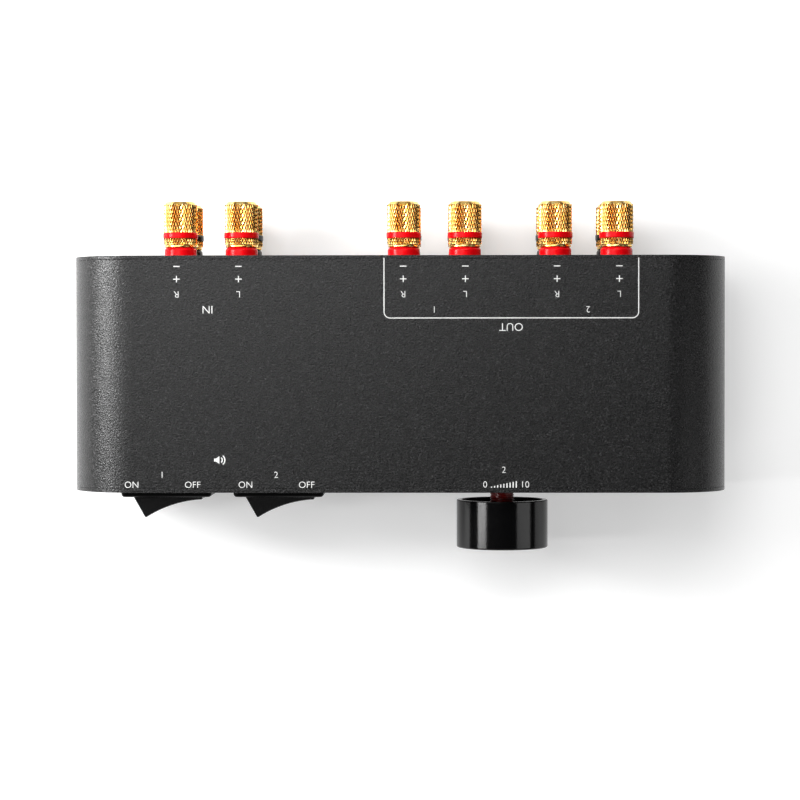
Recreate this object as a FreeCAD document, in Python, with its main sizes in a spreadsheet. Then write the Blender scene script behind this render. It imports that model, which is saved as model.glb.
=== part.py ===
"""Speaker selector switch box: two rocker switches, a volume control and twelve binding posts."""
import FreeCAD, Part
import Sketcher
import math
import os
import re
from FreeCAD import Placement, Rotation, Vector

doc = FreeCAD.newDocument("speaker_selector")

# Driving dimensions in millimetres and degrees. +X is right seen from the front, +Y is to the rear,
# and Z is 0 where the feet stand. "Reach" is a distance out of the panel face, "depth" one into it.
dimensions = {
    # enclosure
    "case_width": 204.0,
    "case_length": 73.0,
    "case_height": 44.0,
    "corner_radius": 20.0,
    "shell_wall": 2.0,
    "panel_thickness": 1.2,
    "boss_radius": 3.4,
    "boss_sink": 0.8,
    "screw_radius": 1.4,
    "screw_length": 10.0,
    "screw_clearance": 0.05,
    "foot_radius": 6.5,
    "foot_draft": 0.8,
    "foot_height": 3.0,
    "foot_inset_x": 34.0,
    "foot_inset_y": 11.5,
    # binding posts
    "post_spacing": 19.05,
    "amp_inset": 33.7,
    "pair_2_inset": 34.45,
    "pair_pitch": 47.15,
    "collar_radius": 5.0,
    "collar_height": 2.8,
    "collar_bevel": 0.8,
    "spigot_radius": 3.6,
    "flange_radius": 4.9,
    "flange_thickness": 0.8,
    "thread_radius": 3.0,
    "thread_bevel": 0.4,
    "stud_reach": 15.3,
    "shank_radius": 2.0,
    "shank_tail": 1.1,
    "plug_radius": 2.0,
    "plug_depth": 8.5,
    "wire_hole_radius": 1.3,
    "wire_hole_rise": 0.3,
    "cap_radius": 5.2,
    "cap_reach": 17.0,
    "cap_bevel": 0.9,
    "cap_seat_gap": 0.1,
    "cap_end_gap": 0.3,
    "cap_mouth_radius": 2.4,
    "band_start": 5.6,
    "band_width": 1.9,
    "band_radius": 5.4,
    "band_groove": 0.7,
    "running_gap": 0.05,
    "insulator_radius": 5.0,
    "insulator_thickness": 1.6,
    "board_thickness": 1.6,
    "board_margin": 7.0,
    "post_nut_flats": 7.0,
    "post_nut_thickness": 3.0,
    # rocker switches
    "switch_inset": 29.1,
    "switch_spacing": 35.1,
    "bezel_length": 28.2,
    "bezel_height": 23.6,
    "bezel_thickness": 2.0,
    "bezel_corner": 1.6,
    "bezel_round": 1.0,
    "opening_length": 22.8,
    "opening_height": 18.2,
    "housing_length": 26.0,
    "housing_height": 21.4,
    "housing_depth": 18.0,
    "housing_wall": 1.3,
    "housing_floor": 1.5,
    "cutout_gap": 0.1,
    "clip_width": 8.0,
    "clip_reach": 0.8,
    "clip_length": 4.0,
    "clip_root": 0.2,
    "rocker_tilt": 17.8,
    "rocker_side_gap": 0.3,
    "pivot_depth": 3.0,
    "pivot_radius": 1.5,
    "pivot_bearing": 0.9,
    "pin_end_gap": 0.2,
    "rocker_tip": 9.4,
    "rocker_rise": 3.6,
    "rocker_dish": 1.26,
    "rocker_skirt": 10.96,
    "rocker_skirt_depth": 0.37,
    "rocker_belly": 9.5,
    "rocker_belly_depth": 2.0,
    "stem_width": 5.2,
    "stem_height": 14.8,
    "stem_depth": 8.2,
    "pole_spacing": 10.0,
    "plunger_radius": 1.2,
    "plunger_start": 5.0,
    "plunger_depth": 10.8,
    "spring_start": 0.6,
    "spring_wall": 0.4,
    "blade_depth": 11.0,
    "blade_half_length": 8.5,
    "blade_rise": 1.8,
    "blade_thickness": 0.8,
    "blade_width": 4.0,
    "blade_swing": 6.0,
    "contact_x": 7.0,
    "contact_gap": 0.25,
    "tab_thickness": 0.8,
    "tab_width": 4.8,
    "tab_length": 9.0,
    # volume control
    "volume_inset": 69.8,
    "knob_radius": 14.4,
    "knob_length": 15.1,
    "knob_gap": 3.3,
    "knob_bevel": 0.7,
    "knob_recess_radius": 12.8,
    "knob_recess_depth": 2.2,
    "knob_bore_depth": 8.6,
    "pointer_width": 1.2,
    "pointer_length": 7.0,
    "pointer_depth": 0.4,
    "pointer_angle": 150.0,
    "shaft_radius": 3.0,
    "set_screw_radius": 1.5,
    "set_screw_length": 6.0,
    "set_screw_socket": 0.75,
    "bushing_radius": 3.8,
    "bushing_reach": 4.6,
    "lock_nut_flats": 12.0,
    "lock_nut_thickness": 2.4,
    "can_radius": 15.0,
    "can_wall": 1.0,
    "can_length": 20.0,
    "can_standoff": 6.0,
    "wafer_thickness": 1.6,
    "wafer_start": 5.0,
    "wafer_pitch": 8.0,
    "wafer_hole_radius": 4.2,
    "track_inner_radius": 8.5,
    "track_outer_radius": 12.0,
    "track_thickness": 0.5,
    "track_gap": 50.0,
    "wiper_gap": 0.3,
    "wiper_hub_radius": 4.6,
    "wiper_thickness": 1.2,
    "wiper_width": 2.4,
    "wiper_length": 11.0,
    "lug_spacing": 6.0,
    "lug_width": 3.0,
    "lug_thickness": 0.8,
    "lug_root": 9.0,
    "lug_reach": 19.0,
    "lug_slot_gap": 0.8,
    # internal wiring
    "wire_radius": 1.1,
    "wire_step": 1.0,
    "bend_share": 0.45,
}

sizes = doc.addObject("Spreadsheet::Sheet", "sizes")
for row, (name, size) in enumerate(dimensions.items(), start=1):
    sizes.set(f"A{row}", name)
    sizes.set(f"B{row}", str(size))
    sizes.setAlias(f"B{row}", name)
doc.recompute()

places = doc.addObject("App::VarSet", "places")


def full(formula):
    """Write a formula's plain names the way the document addresses them."""
    def owner(match):
        word = match.group(0)
        if word in dimensions:
            return f"sizes.{word}"
        return f"places.{word}" if word in places.PropertiesList else word
    return re.sub(r"[a-z][a-z_0-9]*", owner, formula)


def derive(name, formula):
    places.addProperty("App::PropertyFloat", name)
    places.setExpression(name, full(formula))


# Places worked out from the driving dimensions
derive("front_face", "-case_length / 2")
derive("rear_face", "case_length / 2")
derive("left_end", "-case_width / 2")
derive("right_end", "case_width / 2")
derive("amp_x", "left_end + amp_inset")
derive("pair_2_x", "right_end - pair_2_inset - post_spacing")
derive("pair_1_x", "pair_2_x - pair_pitch")
derive("switch_x", "left_end + switch_inset")
derive("volume_x", "right_end - volume_inset")
derive("front_inside", "front_face + panel_thickness")
derive("rear_inside", "rear_face - panel_thickness")
derive("case_middle", "foot_height + case_height / 2")
derive("shell_length", "case_length - 2 * panel_thickness")
derive("boss_offset", "(corner_radius - shell_wall - boss_radius + boss_sink) * sqrt(0.5)")
derive("boss_x", "case_width / 2 - corner_radius + boss_offset")
derive("boss_z", "case_height / 2 - corner_radius + boss_offset")
derive("screw_head_radius", "screw_radius + panel_thickness")
derive("screw_hole_radius", "screw_radius + screw_clearance")
derive("sink_radius", "screw_head_radius + screw_clearance")
derive("collar_top", "rear_face + collar_height")
derive("flange_top", "collar_top + flange_thickness")
derive("stud_end", "rear_face + stud_reach")
derive("insulator_front", "rear_inside - insulator_thickness")
derive("board_front", "insulator_front - board_thickness")
derive("post_nut_front", "board_front - post_nut_thickness")
derive("cap_base", "flange_top + cap_seat_gap")
derive("cap_end", "rear_face + cap_reach")
derive("cap_bore", "thread_radius + running_gap")
derive("cap_floor", "stud_end + cap_end_gap")
derive("groove_radius", "cap_radius - band_groove")
derive("band_front", "rear_face + band_start")
derive("band_rear", "band_front + band_width")
derive("pivot_y", "pivot_depth - bezel_thickness")
derive("blade_y", "pivot_y + blade_depth")
derive("blade_slope", "atan(blade_rise / blade_half_length)")
derive("contact_y", "blade_y + blade_thickness + contact_gap - contact_x * tan(blade_slope - blade_swing)")
derive("tab_end", "housing_depth + tab_length")
derive("dish_radius", "(rocker_tip * rocker_tip + rocker_dish * rocker_dish) / (2 * rocker_dish)")
derive("rocker_top", "rocker_rise + pivot_depth")
derive("rocker_half_height", "opening_height / 2 - rocker_side_gap")
derive("knob_back", "front_face - knob_gap")
derive("knob_front", "knob_back - knob_length")
derive("knob_seat", "knob_back - knob_recess_depth")
derive("set_screw_y", "knob_seat - knob_bore_depth / 2")
derive("can_front", "front_inside + can_standoff")
derive("can_rear", "can_front + can_length")


def number(name):
    return getattr(sizes if name in dimensions else places, name)


def bind(thing, prop, formula):
    thing.setExpression(prop, full(formula))


# Building blocks

def new_body(name):
    part = doc.addObject("PartDesign::Body", name)
    part.Label = name
    return part


def new_sketch(part, role, offset="0"):
    drawing = part.newObject("Sketcher::SketchObject", "Sketch")
    plane = next(item for item in part.Origin.OriginFeatures if item.Role == role)
    drawing.AttachmentSupport = [(plane, "")]
    drawing.MapMode = "FlatFace"
    bind(drawing, "AttachmentOffset.Base.z", offset)
    return drawing


def tie(drawing, kind, line, end, formula):
    """Hold one coordinate of a sketch point at a formula's value."""
    if formula == "0":
        axis = -2 if kind == "DistanceX" else -1
        drawing.addConstraint(Sketcher.Constraint("PointOnObject", line, end, axis))
        return
    index = drawing.addConstraint(Sketcher.Constraint(kind, -1, 1, line, end, 1.0))
    bind(drawing, f"Constraints[{index}]", formula)


def draw_polygon(drawing, corners):
    first = drawing.GeometryCount
    count = len(corners)
    turn = 2 * math.pi / count
    spread = [Vector(10 * math.cos(turn * i), 10 * math.sin(turn * i), 0) for i in range(count)]
    for i in range(count):
        drawing.addGeometry(Part.LineSegment(spread[i], spread[(i + 1) % count]), False)
    for i in range(count):
        following = first + (i + 1) % count
        drawing.addConstraint(Sketcher.Constraint("Coincident", first + i, 2, following, 1))
    for i, (across, along) in enumerate(corners):
        tie(drawing, "DistanceX", first + i, 1, across)
        tie(drawing, "DistanceY", first + i, 1, along)


def draw_rectangle(drawing, width, height, middle="0"):
    low = f"{middle} - {height} / 2"
    high = f"{middle} + {height} / 2"
    left = f"-{width} / 2"
    right = f"{width} / 2"
    draw_polygon(drawing, [(left, low), (right, low), (right, high), (left, high)])


def draw_circle(drawing, across, along, radius):
    line = drawing.addGeometry(Part.Circle(Vector(1, 1, 0), Vector(0, 0, 1), 1), False)
    tie(drawing, "DistanceX", line, 3, across)
    tie(drawing, "DistanceY", line, 3, along)
    index = drawing.addConstraint(Sketcher.Constraint("Radius", line, 1.0))
    bind(drawing, f"Constraints[{index}]", radius)


def extrude(part, kind, drawing, length=None, backwards=False, both_ways=False):
    """Pad or pocket a sketch. With no length a pocket goes through everything."""
    feature = part.newObject(f"PartDesign::{kind}", kind)
    feature.Profile = drawing
    feature.Reversed = backwards
    feature.Midplane = both_ways
    if length is None:
        feature.Type = "ThroughAll"
    else:
        bind(feature, "Length", length)
    doc.recompute()
    return feature


def round_edges(part, feature, radius, chosen):
    """Fillet the edges of a feature that the chosen test picks."""
    edges = [f"Edge{i}" for i, edge in enumerate(feature.Shape.Edges, start=1) if chosen(edge)]
    fillet = part.newObject("PartDesign::Fillet", "Fillet")
    fillet.Base = (feature, edges)
    bind(fillet, "Radius", radius)
    doc.recompute()
    return fillet


def along_y(edge):
    box = edge.BoundBox
    return box.YLength > 0.1 and box.XLength < 0.001 and box.ZLength < 0.001


def turned(name, corners):
    """A body turned about the Y axis from (radius, y) corners."""
    part = new_body(name)
    drawing = new_sketch(part, "XY_Plane")
    draw_polygon(drawing, corners)
    feature = part.newObject("PartDesign::Revolution", "Revolution")
    feature.Profile = drawing
    feature.ReferenceAxis = (drawing, ["V_Axis"])
    feature.Angle = 360
    doc.recompute()
    return part


def move(thing, across="0", along="0", up="0"):
    bind(thing, "Placement.Base.x", across)
    bind(thing, "Placement.Base.y", along)
    bind(thing, "Placement.Base.z", up)
    return thing


def box(size, corner):
    block = doc.addObject("Part::Box", "Box")
    bind(block, "Length", size[0])
    bind(block, "Width", size[1])
    bind(block, "Height", size[2])
    return move(block, *corner)


def centred_box(size, centre):
    corner = [f"{middle} - ({length}) / 2" for middle, length in zip(centre, size)]
    return box(size, corner)


turns = {"x": Rotation(Vector(0, 1, 0), 90), "y": Rotation(Vector(1, 0, 0), -90), "z": Rotation()}


def rod(direction, radius, length, start, kind="Cylinder", far_radius=None):
    """A cylinder, or a cone with a far radius, from a start point along +X, +Y or +Z."""
    item = doc.addObject(f"Part::{kind}", kind)
    item.Placement = Placement(Vector(), turns[direction])
    bind(item, "Radius1" if far_radius else "Radius", radius)
    if far_radius:
        bind(item, "Radius2", far_radius)
    bind(item, "Height", length)
    return move(item, *start)


def cone(direction, radius, far_radius, length, start):
    return rod(direction, radius, length, start, "Cone", far_radius)


def hexagon(flats, length, start):
    """A hexagonal bar along +Y."""
    item = doc.addObject("Part::Prism", "Prism")
    item.Polygon = 6
    item.Placement = Placement(Vector(), turns["y"])
    bind(item, "Circumradius", f"{flats} / sqrt(3)")
    bind(item, "Height", length)
    return move(item, *start)


def fuse(name, items):
    joined = doc.addObject("Part::MultiFuse", name)
    joined.Shapes = items
    return joined


def cut(name, base, tools):
    result = doc.addObject("Part::Cut", name)
    result.Base = base
    result.Tool = tools[0] if len(tools) == 1 else fuse(f"{name}_tools", tools)
    return result


nodes = []


def keep(thing, name):
    """Name a finished sub-part, which gets a file of its own."""
    thing.Label = name
    nodes.append(thing)
    return thing


def copies(name, original, spots, angle=None):
    """A sub-part that is one copy of a solid at each (x, y, z) spot, turned about its own Z axis."""
    links = []
    for spot in spots:
        link = doc.addObject("App::Link", "Link")
        link.LinkedObject = original
        link.LinkTransform = True
        if angle:
            link.Placement = Placement(Vector(), Rotation(Vector(0, 0, 1), 1))
            bind(link, "Placement.Rotation.Angle", angle)
        links.append(move(link, *spot))
    group = doc.addObject("Part::Compound", name)
    group.Links = links
    return keep(group, name)


# Enclosure: an extruded shell closed by two screwed end panels

def screw_spots():
    return [(f"{side} * boss_x", f"case_middle + {end} * boss_z") for side in (-1, 1) for end in (-1, 1)]


def rounded_bar(name, width, height, length, radius):
    part = new_body(name)
    outline = new_sketch(part, "XZ_Plane")
    draw_rectangle(outline, width, height, "case_middle")
    bar = extrude(part, "Pad", outline, length, both_ways=True)
    round_edges(part, bar, radius, along_y)
    return part


def make_shell():
    outside = rounded_bar("shell_outside", "case_width", "case_height", "shell_length", "corner_radius")
    inside = rounded_bar("shell_inside", "(case_width - 2 * shell_wall)", "(case_height - 2 * shell_wall)",
                         "2 * shell_length", "corner_radius - shell_wall")
    sleeve = cut("shell_sleeve", outside, [inside])
    starts = [(across, "front_inside", up) for across, up in screw_spots()]
    channels = [rod("y", "boss_radius", "shell_length", start) for start in starts]
    holes = [rod("y", "screw_hole_radius", "shell_length", start) for start in starts]
    solid = fuse("shell_with_channels", [sleeve] + channels)
    return keep(cut("enclosure_shell", solid, holes), "enclosure_shell")


def panel_blank(name, offset):
    part = new_body(name)
    outline = new_sketch(part, "XZ_Plane", offset)
    draw_rectangle(outline, "case_width", "case_height", "case_middle")
    plate = extrude(part, "Pad", outline, "panel_thickness")
    round_edges(part, plate, "corner_radius", along_y)
    return part


def countersinks(narrow_y, narrow, wide):
    """Conical screw holes through a panel, widening towards +Y."""
    starts = [(across, narrow_y, up) for across, up in screw_spots()]
    return [cone("y", narrow, wide, "panel_thickness", start) for start in starts]


def make_front_panel():
    blank = panel_blank("front_blank", "-front_inside")
    cutouts = new_sketch(blank, "XZ_Plane")
    for index in range(2):
        middle = f"switch_x + {index} * switch_spacing"
        half = "(housing_length / 2 + cutout_gap)"
        low = "case_middle - housing_height / 2 - cutout_gap"
        high = "case_middle + housing_height / 2 + cutout_gap"
        left = f"{middle} - {half}"
        right = f"{middle} + {half}"
        draw_polygon(cutouts, [(left, low), (right, low), (right, high), (left, high)])
    draw_circle(cutouts, "volume_x", "case_middle", "bushing_radius + running_gap")
    extrude(blank, "Pocket", cutouts, both_ways=True)
    sinks = countersinks("front_face", "sink_radius", "screw_hole_radius")
    return keep(cut("front_panel", blank, sinks), "front_panel")


def post_spots(sign=None):
    """(x, z) of the binding posts: all of them, or one row. The upper row is plus, the lower minus."""
    groups = ("amp_x", "pair_1_x", "pair_2_x")
    columns = [f"{group} + {step} * post_spacing" for group in groups for step in (0, 1)]
    signs = (1, -1) if sign is None else (sign,)
    return [(across, f"case_middle + {up} * post_spacing / 2") for across in columns for up in signs]


def make_rear_panel():
    blank = panel_blank("rear_blank", "-rear_face")
    holes = new_sketch(blank, "XZ_Plane")
    for across, up in post_spots():
        draw_circle(holes, across, up, "spigot_radius + running_gap")
    extrude(blank, "Pocket", holes, both_ways=True)
    sinks = countersinks("rear_inside", "screw_hole_radius", "sink_radius")
    return keep(cut("rear_panel", blank, sinks), "rear_panel")


def make_screws():
    front_screw = fuse("front_screw", [
        cone("y", "screw_head_radius", "screw_radius", "panel_thickness", ("0", "front_face", "0")),
        rod("y", "screw_radius", "screw_length", ("0", "front_face", "0")),
    ])
    rear_screw = fuse("rear_screw", [
        cone("y", "screw_radius", "screw_head_radius", "panel_thickness", ("0", "rear_inside", "0")),
        rod("y", "screw_radius", "screw_length", ("0", "rear_face - screw_length", "0")),
    ])
    spots = [(across, "0", up) for across, up in screw_spots()]
    copies("front_panel_screws", front_screw, spots)
    copies("rear_panel_screws", rear_screw, spots)


def make_feet():
    foot = cone("z", "foot_radius - foot_draft", "foot_radius", "foot_height", ("0", "0", "0"))
    across = "(case_width / 2 - foot_inset_x)"
    along = "(case_length / 2 - foot_inset_y)"
    spots = [(f"{side} * {across}", f"{end} * {along}", "0") for side in (-1, 1) for end in (-1, 1)]
    copies("rubber_feet", foot, spots)


make_shell()
make_front_panel()
make_rear_panel()
make_screws()
make_feet()


# Binding posts: a plated stud clamped through the rear panel, with a cap that screws along it

def make_post_fixings():
    spots = [(across, "0", up) for across, up in post_spots()]
    stud = turned("stud_bar", [
        ("0", "post_nut_front - shank_tail"),
        ("shank_radius", "post_nut_front - shank_tail"),
        ("shank_radius", "collar_top"),
        ("flange_radius", "collar_top"),
        ("flange_radius", "flange_top"),
        ("thread_radius", "flange_top"),
        ("thread_radius", "stud_end - thread_bevel"),
        ("thread_radius - thread_bevel", "stud_end"),
        ("plug_radius", "stud_end"),
        ("plug_radius", "stud_end - plug_depth"),
        ("0", "stud_end - plug_depth"),
    ])
    wire_y = "flange_top + wire_hole_rise + wire_hole_radius"
    wire_hole = rod("z", "wire_hole_radius", "2 * flange_radius", ("0", wire_y, "-flange_radius"))
    copies("post_studs", cut("stud", stud, [wire_hole]), spots)

    collar = turned("collar", [
        ("shank_radius + running_gap", "rear_inside"),
        ("spigot_radius", "rear_inside"),
        ("spigot_radius", "rear_face"),
        ("collar_radius", "rear_face"),
        ("collar_radius", "collar_top - collar_bevel"),
        ("collar_radius - collar_bevel", "collar_top"),
        ("shank_radius + running_gap", "collar_top"),
    ])
    copies("red_post_collars", collar, [(across, "0", up) for across, up in post_spots(1)])
    copies("black_post_collars", collar, [(across, "0", up) for across, up in post_spots(-1)])

    front = ("0", "insulator_front", "0")
    insulator = cut("insulator", rod("y", "insulator_radius", "insulator_thickness", front),
                    [rod("y", "shank_radius + running_gap", "insulator_thickness", front)])
    copies("post_insulators", insulator, spots)

    nut = cut("post_nut", hexagon("post_nut_flats", "post_nut_thickness", ("0", "post_nut_front", "0")),
              [rod("y", "shank_radius + running_gap", "post_nut_thickness", ("0", "post_nut_front", "0"))])
    copies("post_nuts", nut, spots)

    left = "amp_x - board_margin"
    width = f"pair_2_x + post_spacing + board_margin - ({left})"
    height = "post_spacing + 2 * board_margin"
    plate = box((width, "board_thickness", height), (left, "board_front", f"case_middle - ({height}) / 2"))
    holes = [rod("y", "shank_radius + running_gap", "board_thickness", (across, "board_front", up))
             for across, up in post_spots()]
    keep(cut("terminal_board", plate, holes), "terminal_board")


def make_caps():
    cap = turned("cap", [
        ("cap_bore", "cap_base"),
        ("cap_radius", "cap_base"),
        ("cap_radius", "band_front"),
        ("groove_radius", "band_front"),
        ("groove_radius", "band_rear"),
        ("cap_radius", "band_rear"),
        ("cap_radius", "cap_end - cap_bevel"),
        ("cap_radius - cap_bevel", "cap_end"),
        ("cap_mouth_radius", "cap_end"),
        ("cap_mouth_radius", "cap_floor"),
        ("cap_bore", "cap_floor"),
    ])
    band = turned("band", [
        ("groove_radius + running_gap", "band_front"),
        ("band_radius", "band_front"),
        ("band_radius", "band_rear"),
        ("groove_radius + running_gap", "band_rear"),
    ])
    columns = ["amp_right", "amp_left", "pair_1_right", "pair_1_left", "pair_2_right", "pair_2_left"]
    names = [f"{column}_{sign}" for column in columns for sign in ("plus", "minus")]
    for name, (across, up) in zip(names, post_spots()):
        copies(f"{name}_cap", cap, [(across, "0", up)])
        copies(f"{name}_band", band, [(across, "0", up)])


make_post_fixings()
make_caps()


# Rocker switches. The housing is drawn with the panel face at y = 0, and what tilts is drawn about its pivot.

def make_housing():
    part = new_body("housing_block")
    bezel = new_sketch(part, "XZ_Plane")
    draw_rectangle(bezel, "bezel_length", "bezel_height")
    flange = extrude(part, "Pad", bezel, "bezel_thickness")
    cornered = round_edges(part, flange, "bezel_corner", along_y)
    front_y = -number("bezel_thickness")
    round_edges(part, cornered, "bezel_round",
                lambda edge: abs(edge.BoundBox.YMin - front_y) < 0.01 and edge.BoundBox.YLength < 0.01)
    block = new_sketch(part, "XZ_Plane")
    draw_rectangle(block, "housing_length", "housing_height")
    extrude(part, "Pad", block, "housing_depth", backwards=True)

    cavity_length = "housing_length - 2 * housing_wall"
    cavity_height = "housing_height - 2 * housing_wall"
    opening = centred_box(("opening_length", "bezel_thickness + 2 * running_gap", "opening_height"),
                          ("0", "-bezel_thickness / 2", "0"))
    cavity_depth = "housing_depth - housing_floor"
    cavity = centred_box((cavity_length, cavity_depth, cavity_height), ("0", f"({cavity_depth}) / 2", "0"))
    bearing_length = f"{cavity_height} + 2 * pivot_bearing"
    bearing_end = f"-({bearing_length}) / 2"
    bearing = rod("z", "pivot_radius + running_gap", bearing_length, ("0", "pivot_y", bearing_end))
    slot_size = ("tab_thickness + 2 * running_gap", "2 * housing_floor", "tab_width + 2 * running_gap")
    slots = [centred_box(slot_size,
                         (across, "housing_depth - housing_floor / 2", f"{pole} * pole_spacing / 2"))
             for across in ("0", "contact_x") for pole in (-1, 1)]
    hollow = cut("hollow_housing", part, [opening, cavity, bearing] + slots)
    stops = [box(("tab_thickness", "housing_depth - contact_y", "tab_width"),
                 ("-contact_x - tab_thickness / 2", "contact_y", f"{pole} * pole_spacing / 2 - tab_width / 2"))
             for pole in (-1, 1)]
    return fuse("housing", [hollow] + stops + make_clips())


def make_clips():
    """The wedge on each end of a housing that snaps behind the panel."""
    part = new_body("clip_pair")
    drawing = new_sketch(part, "XY_Plane", "-clip_width / 2")
    for side in ("", "-"):
        near = f"{side}(housing_length / 2 - clip_root)"
        far = f"{side}(housing_length / 2 + clip_reach)"
        draw_polygon(drawing, [
            (near, "panel_thickness"),
            (far, "panel_thickness"),
            (near, "panel_thickness + clip_length"),
        ])
    extrude(part, "Pad", drawing, "clip_width")
    return [part]


def make_rocker():
    part = new_body("rocker_block")
    drawing = new_sketch(part, "XY_Plane", "-rocker_half_height")
    right = [
        ("rocker_tip", "-rocker_top"),
        ("rocker_skirt", "rocker_skirt_depth"),
        ("rocker_belly", "rocker_belly_depth"),
        ("stem_width / 2", "rocker_belly_depth"),
    ]
    left = [(f"-{across}", along) for across, along in reversed(right)]
    draw_polygon(drawing, right + left)
    extrude(part, "Pad", drawing, "2 * rocker_half_height")
    stem = centred_box(("stem_width", "stem_depth", "stem_height"), ("0", "stem_depth / 2", "0"))
    pin_length = "housing_height - 2 * housing_wall + 2 * pivot_bearing - 2 * pin_end_gap"
    pin = rod("z", "pivot_radius", pin_length, ("0", "0", f"-({pin_length}) / 2"))
    dish = rod("z", "dish_radius", "3 * rocker_half_height",
               ("0", "rocker_dish - rocker_top - dish_radius", "-1.5 * rocker_half_height"))
    bores = [rod("y", "plunger_radius + running_gap", "stem_depth - spring_start",
                 ("0", "spring_start", f"{pole} * pole_spacing / 2")) for pole in (-1, 1)]
    return cut("rocker", fuse("rocker_solid", [part, stem, pin]), [dish] + bores)


def make_plunger():
    body_length = "plunger_depth - plunger_radius - plunger_start"
    barrel = rod("y", "plunger_radius", body_length, ("0", "plunger_start", "0"))
    nose = doc.addObject("Part::Sphere", "Sphere")
    bind(nose, "Radius", "plunger_radius")
    move(nose, "0", "plunger_depth - plunger_radius", "0")
    return fuse("plunger", [barrel, nose])


def make_spring():
    length = "plunger_start - spring_start"
    return cut("spring", rod("y", "plunger_radius", length, ("0", "spring_start", "0")),
               [rod("y", "plunger_radius - spring_wall", length, ("0", "spring_start", "0"))])


def make_blade():
    """A shallow V of strip whose bend is the point it rocks about."""
    part = new_body("blade")
    drawing = new_sketch(part, "XY_Plane", "-blade_width / 2")
    draw_polygon(drawing, [
        ("-blade_half_length", "-blade_rise"),
        ("0", "0"),
        ("blade_half_length", "-blade_rise"),
        ("blade_half_length", "blade_thickness - blade_rise"),
        ("0", "blade_thickness"),
        ("-blade_half_length", "blade_thickness - blade_rise"),
    ])
    extrude(part, "Pad", drawing, "blade_width")
    return part


def make_tabs():
    """The common and the switched terminal of one pole."""
    common_y = "blade_y + blade_thickness + contact_gap"
    return fuse("tabs", [
        box(("tab_thickness", f"tab_end - ({start})", "tab_width"),
            (f"{across} - tab_thickness / 2", start, "-tab_width / 2"))
        for across, start in (("0", common_y), ("contact_x", "contact_y"))
    ])


def make_switches():
    housing = make_housing()
    rocker = make_rocker()
    plunger = make_plunger()
    spring = make_spring()
    blade = make_blade()
    tabs = make_tabs()
    poles = [f"case_middle + {pole} * pole_spacing / 2" for pole in (-1, 1)]
    for index in range(2):
        middle = f"switch_x + {index} * switch_spacing"
        name = f"pair_{index + 1}"
        pivot = "front_face + pivot_y"
        copies(f"{name}_switch_housing", housing, [(middle, "front_face", "case_middle")])
        copies(f"{name}_rocker", rocker, [(middle, pivot, "case_middle")], "rocker_tilt")
        copies(f"{name}_plungers", plunger, [(middle, pivot, up) for up in poles], "rocker_tilt")
        copies(f"{name}_plunger_springs", spring, [(middle, pivot, up) for up in poles], "rocker_tilt")
        blade_spots = [(middle, "front_face + blade_y", up) for up in poles]
        copies(f"{name}_contact_blades", blade, blade_spots, "-blade_swing")
        copies(f"{name}_switch_terminals", tabs, [(middle, "front_face", up) for up in poles])


make_switches()


# Volume control: a two-gang wafer control in a round can, on a threaded bushing

def axis_spot(along):
    return ("volume_x", along, "case_middle")


def make_knob():
    blank = turned("knob_blank", [
        ("0", "knob_front"),
        ("knob_radius - knob_bevel", "knob_front"),
        ("knob_radius", "knob_front + knob_bevel"),
        ("knob_radius", "knob_back - knob_bevel / 2"),
        ("knob_radius - knob_bevel / 2", "knob_back"),
        ("knob_recess_radius", "knob_back"),
        ("knob_recess_radius", "knob_seat"),
        ("shaft_radius + running_gap", "knob_seat"),
        ("shaft_radius + running_gap", "knob_seat - knob_bore_depth"),
        ("0", "knob_seat - knob_bore_depth"),
    ])
    rim = ("0", "set_screw_y", "-knob_radius")
    screw_hole = rod("z", "set_screw_radius + screw_clearance", "knob_radius", rim)
    pointer = box(("pointer_width", "pointer_depth", "pointer_length"),
                  ("-pointer_width / 2", "knob_front", "knob_radius - knob_bevel - pointer_length"))
    mark = doc.addObject("Part::Compound", "pointer_cut")
    mark.Links = [pointer]
    mark.Placement = Placement(Vector(), Rotation(Vector(0, 1, 0), 1))
    bind(mark, "Placement.Rotation.Angle", "-pointer_angle")
    copies("volume_knob", cut("knob", blank, [screw_hole, mark]), [axis_spot("0")])

    outer_end = ("0", "set_screw_y", "-shaft_radius - set_screw_length")
    shank = rod("z", "set_screw_radius", "set_screw_length", outer_end)
    socket = doc.addObject("Part::Prism", "Prism")
    socket.Polygon = 6
    bind(socket, "Circumradius", "set_screw_socket")
    bind(socket, "Height", "set_screw_radius")
    move(socket, *outer_end)
    copies("knob_set_screw", cut("set_screw", shank, [socket]), [axis_spot("0")])


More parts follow.
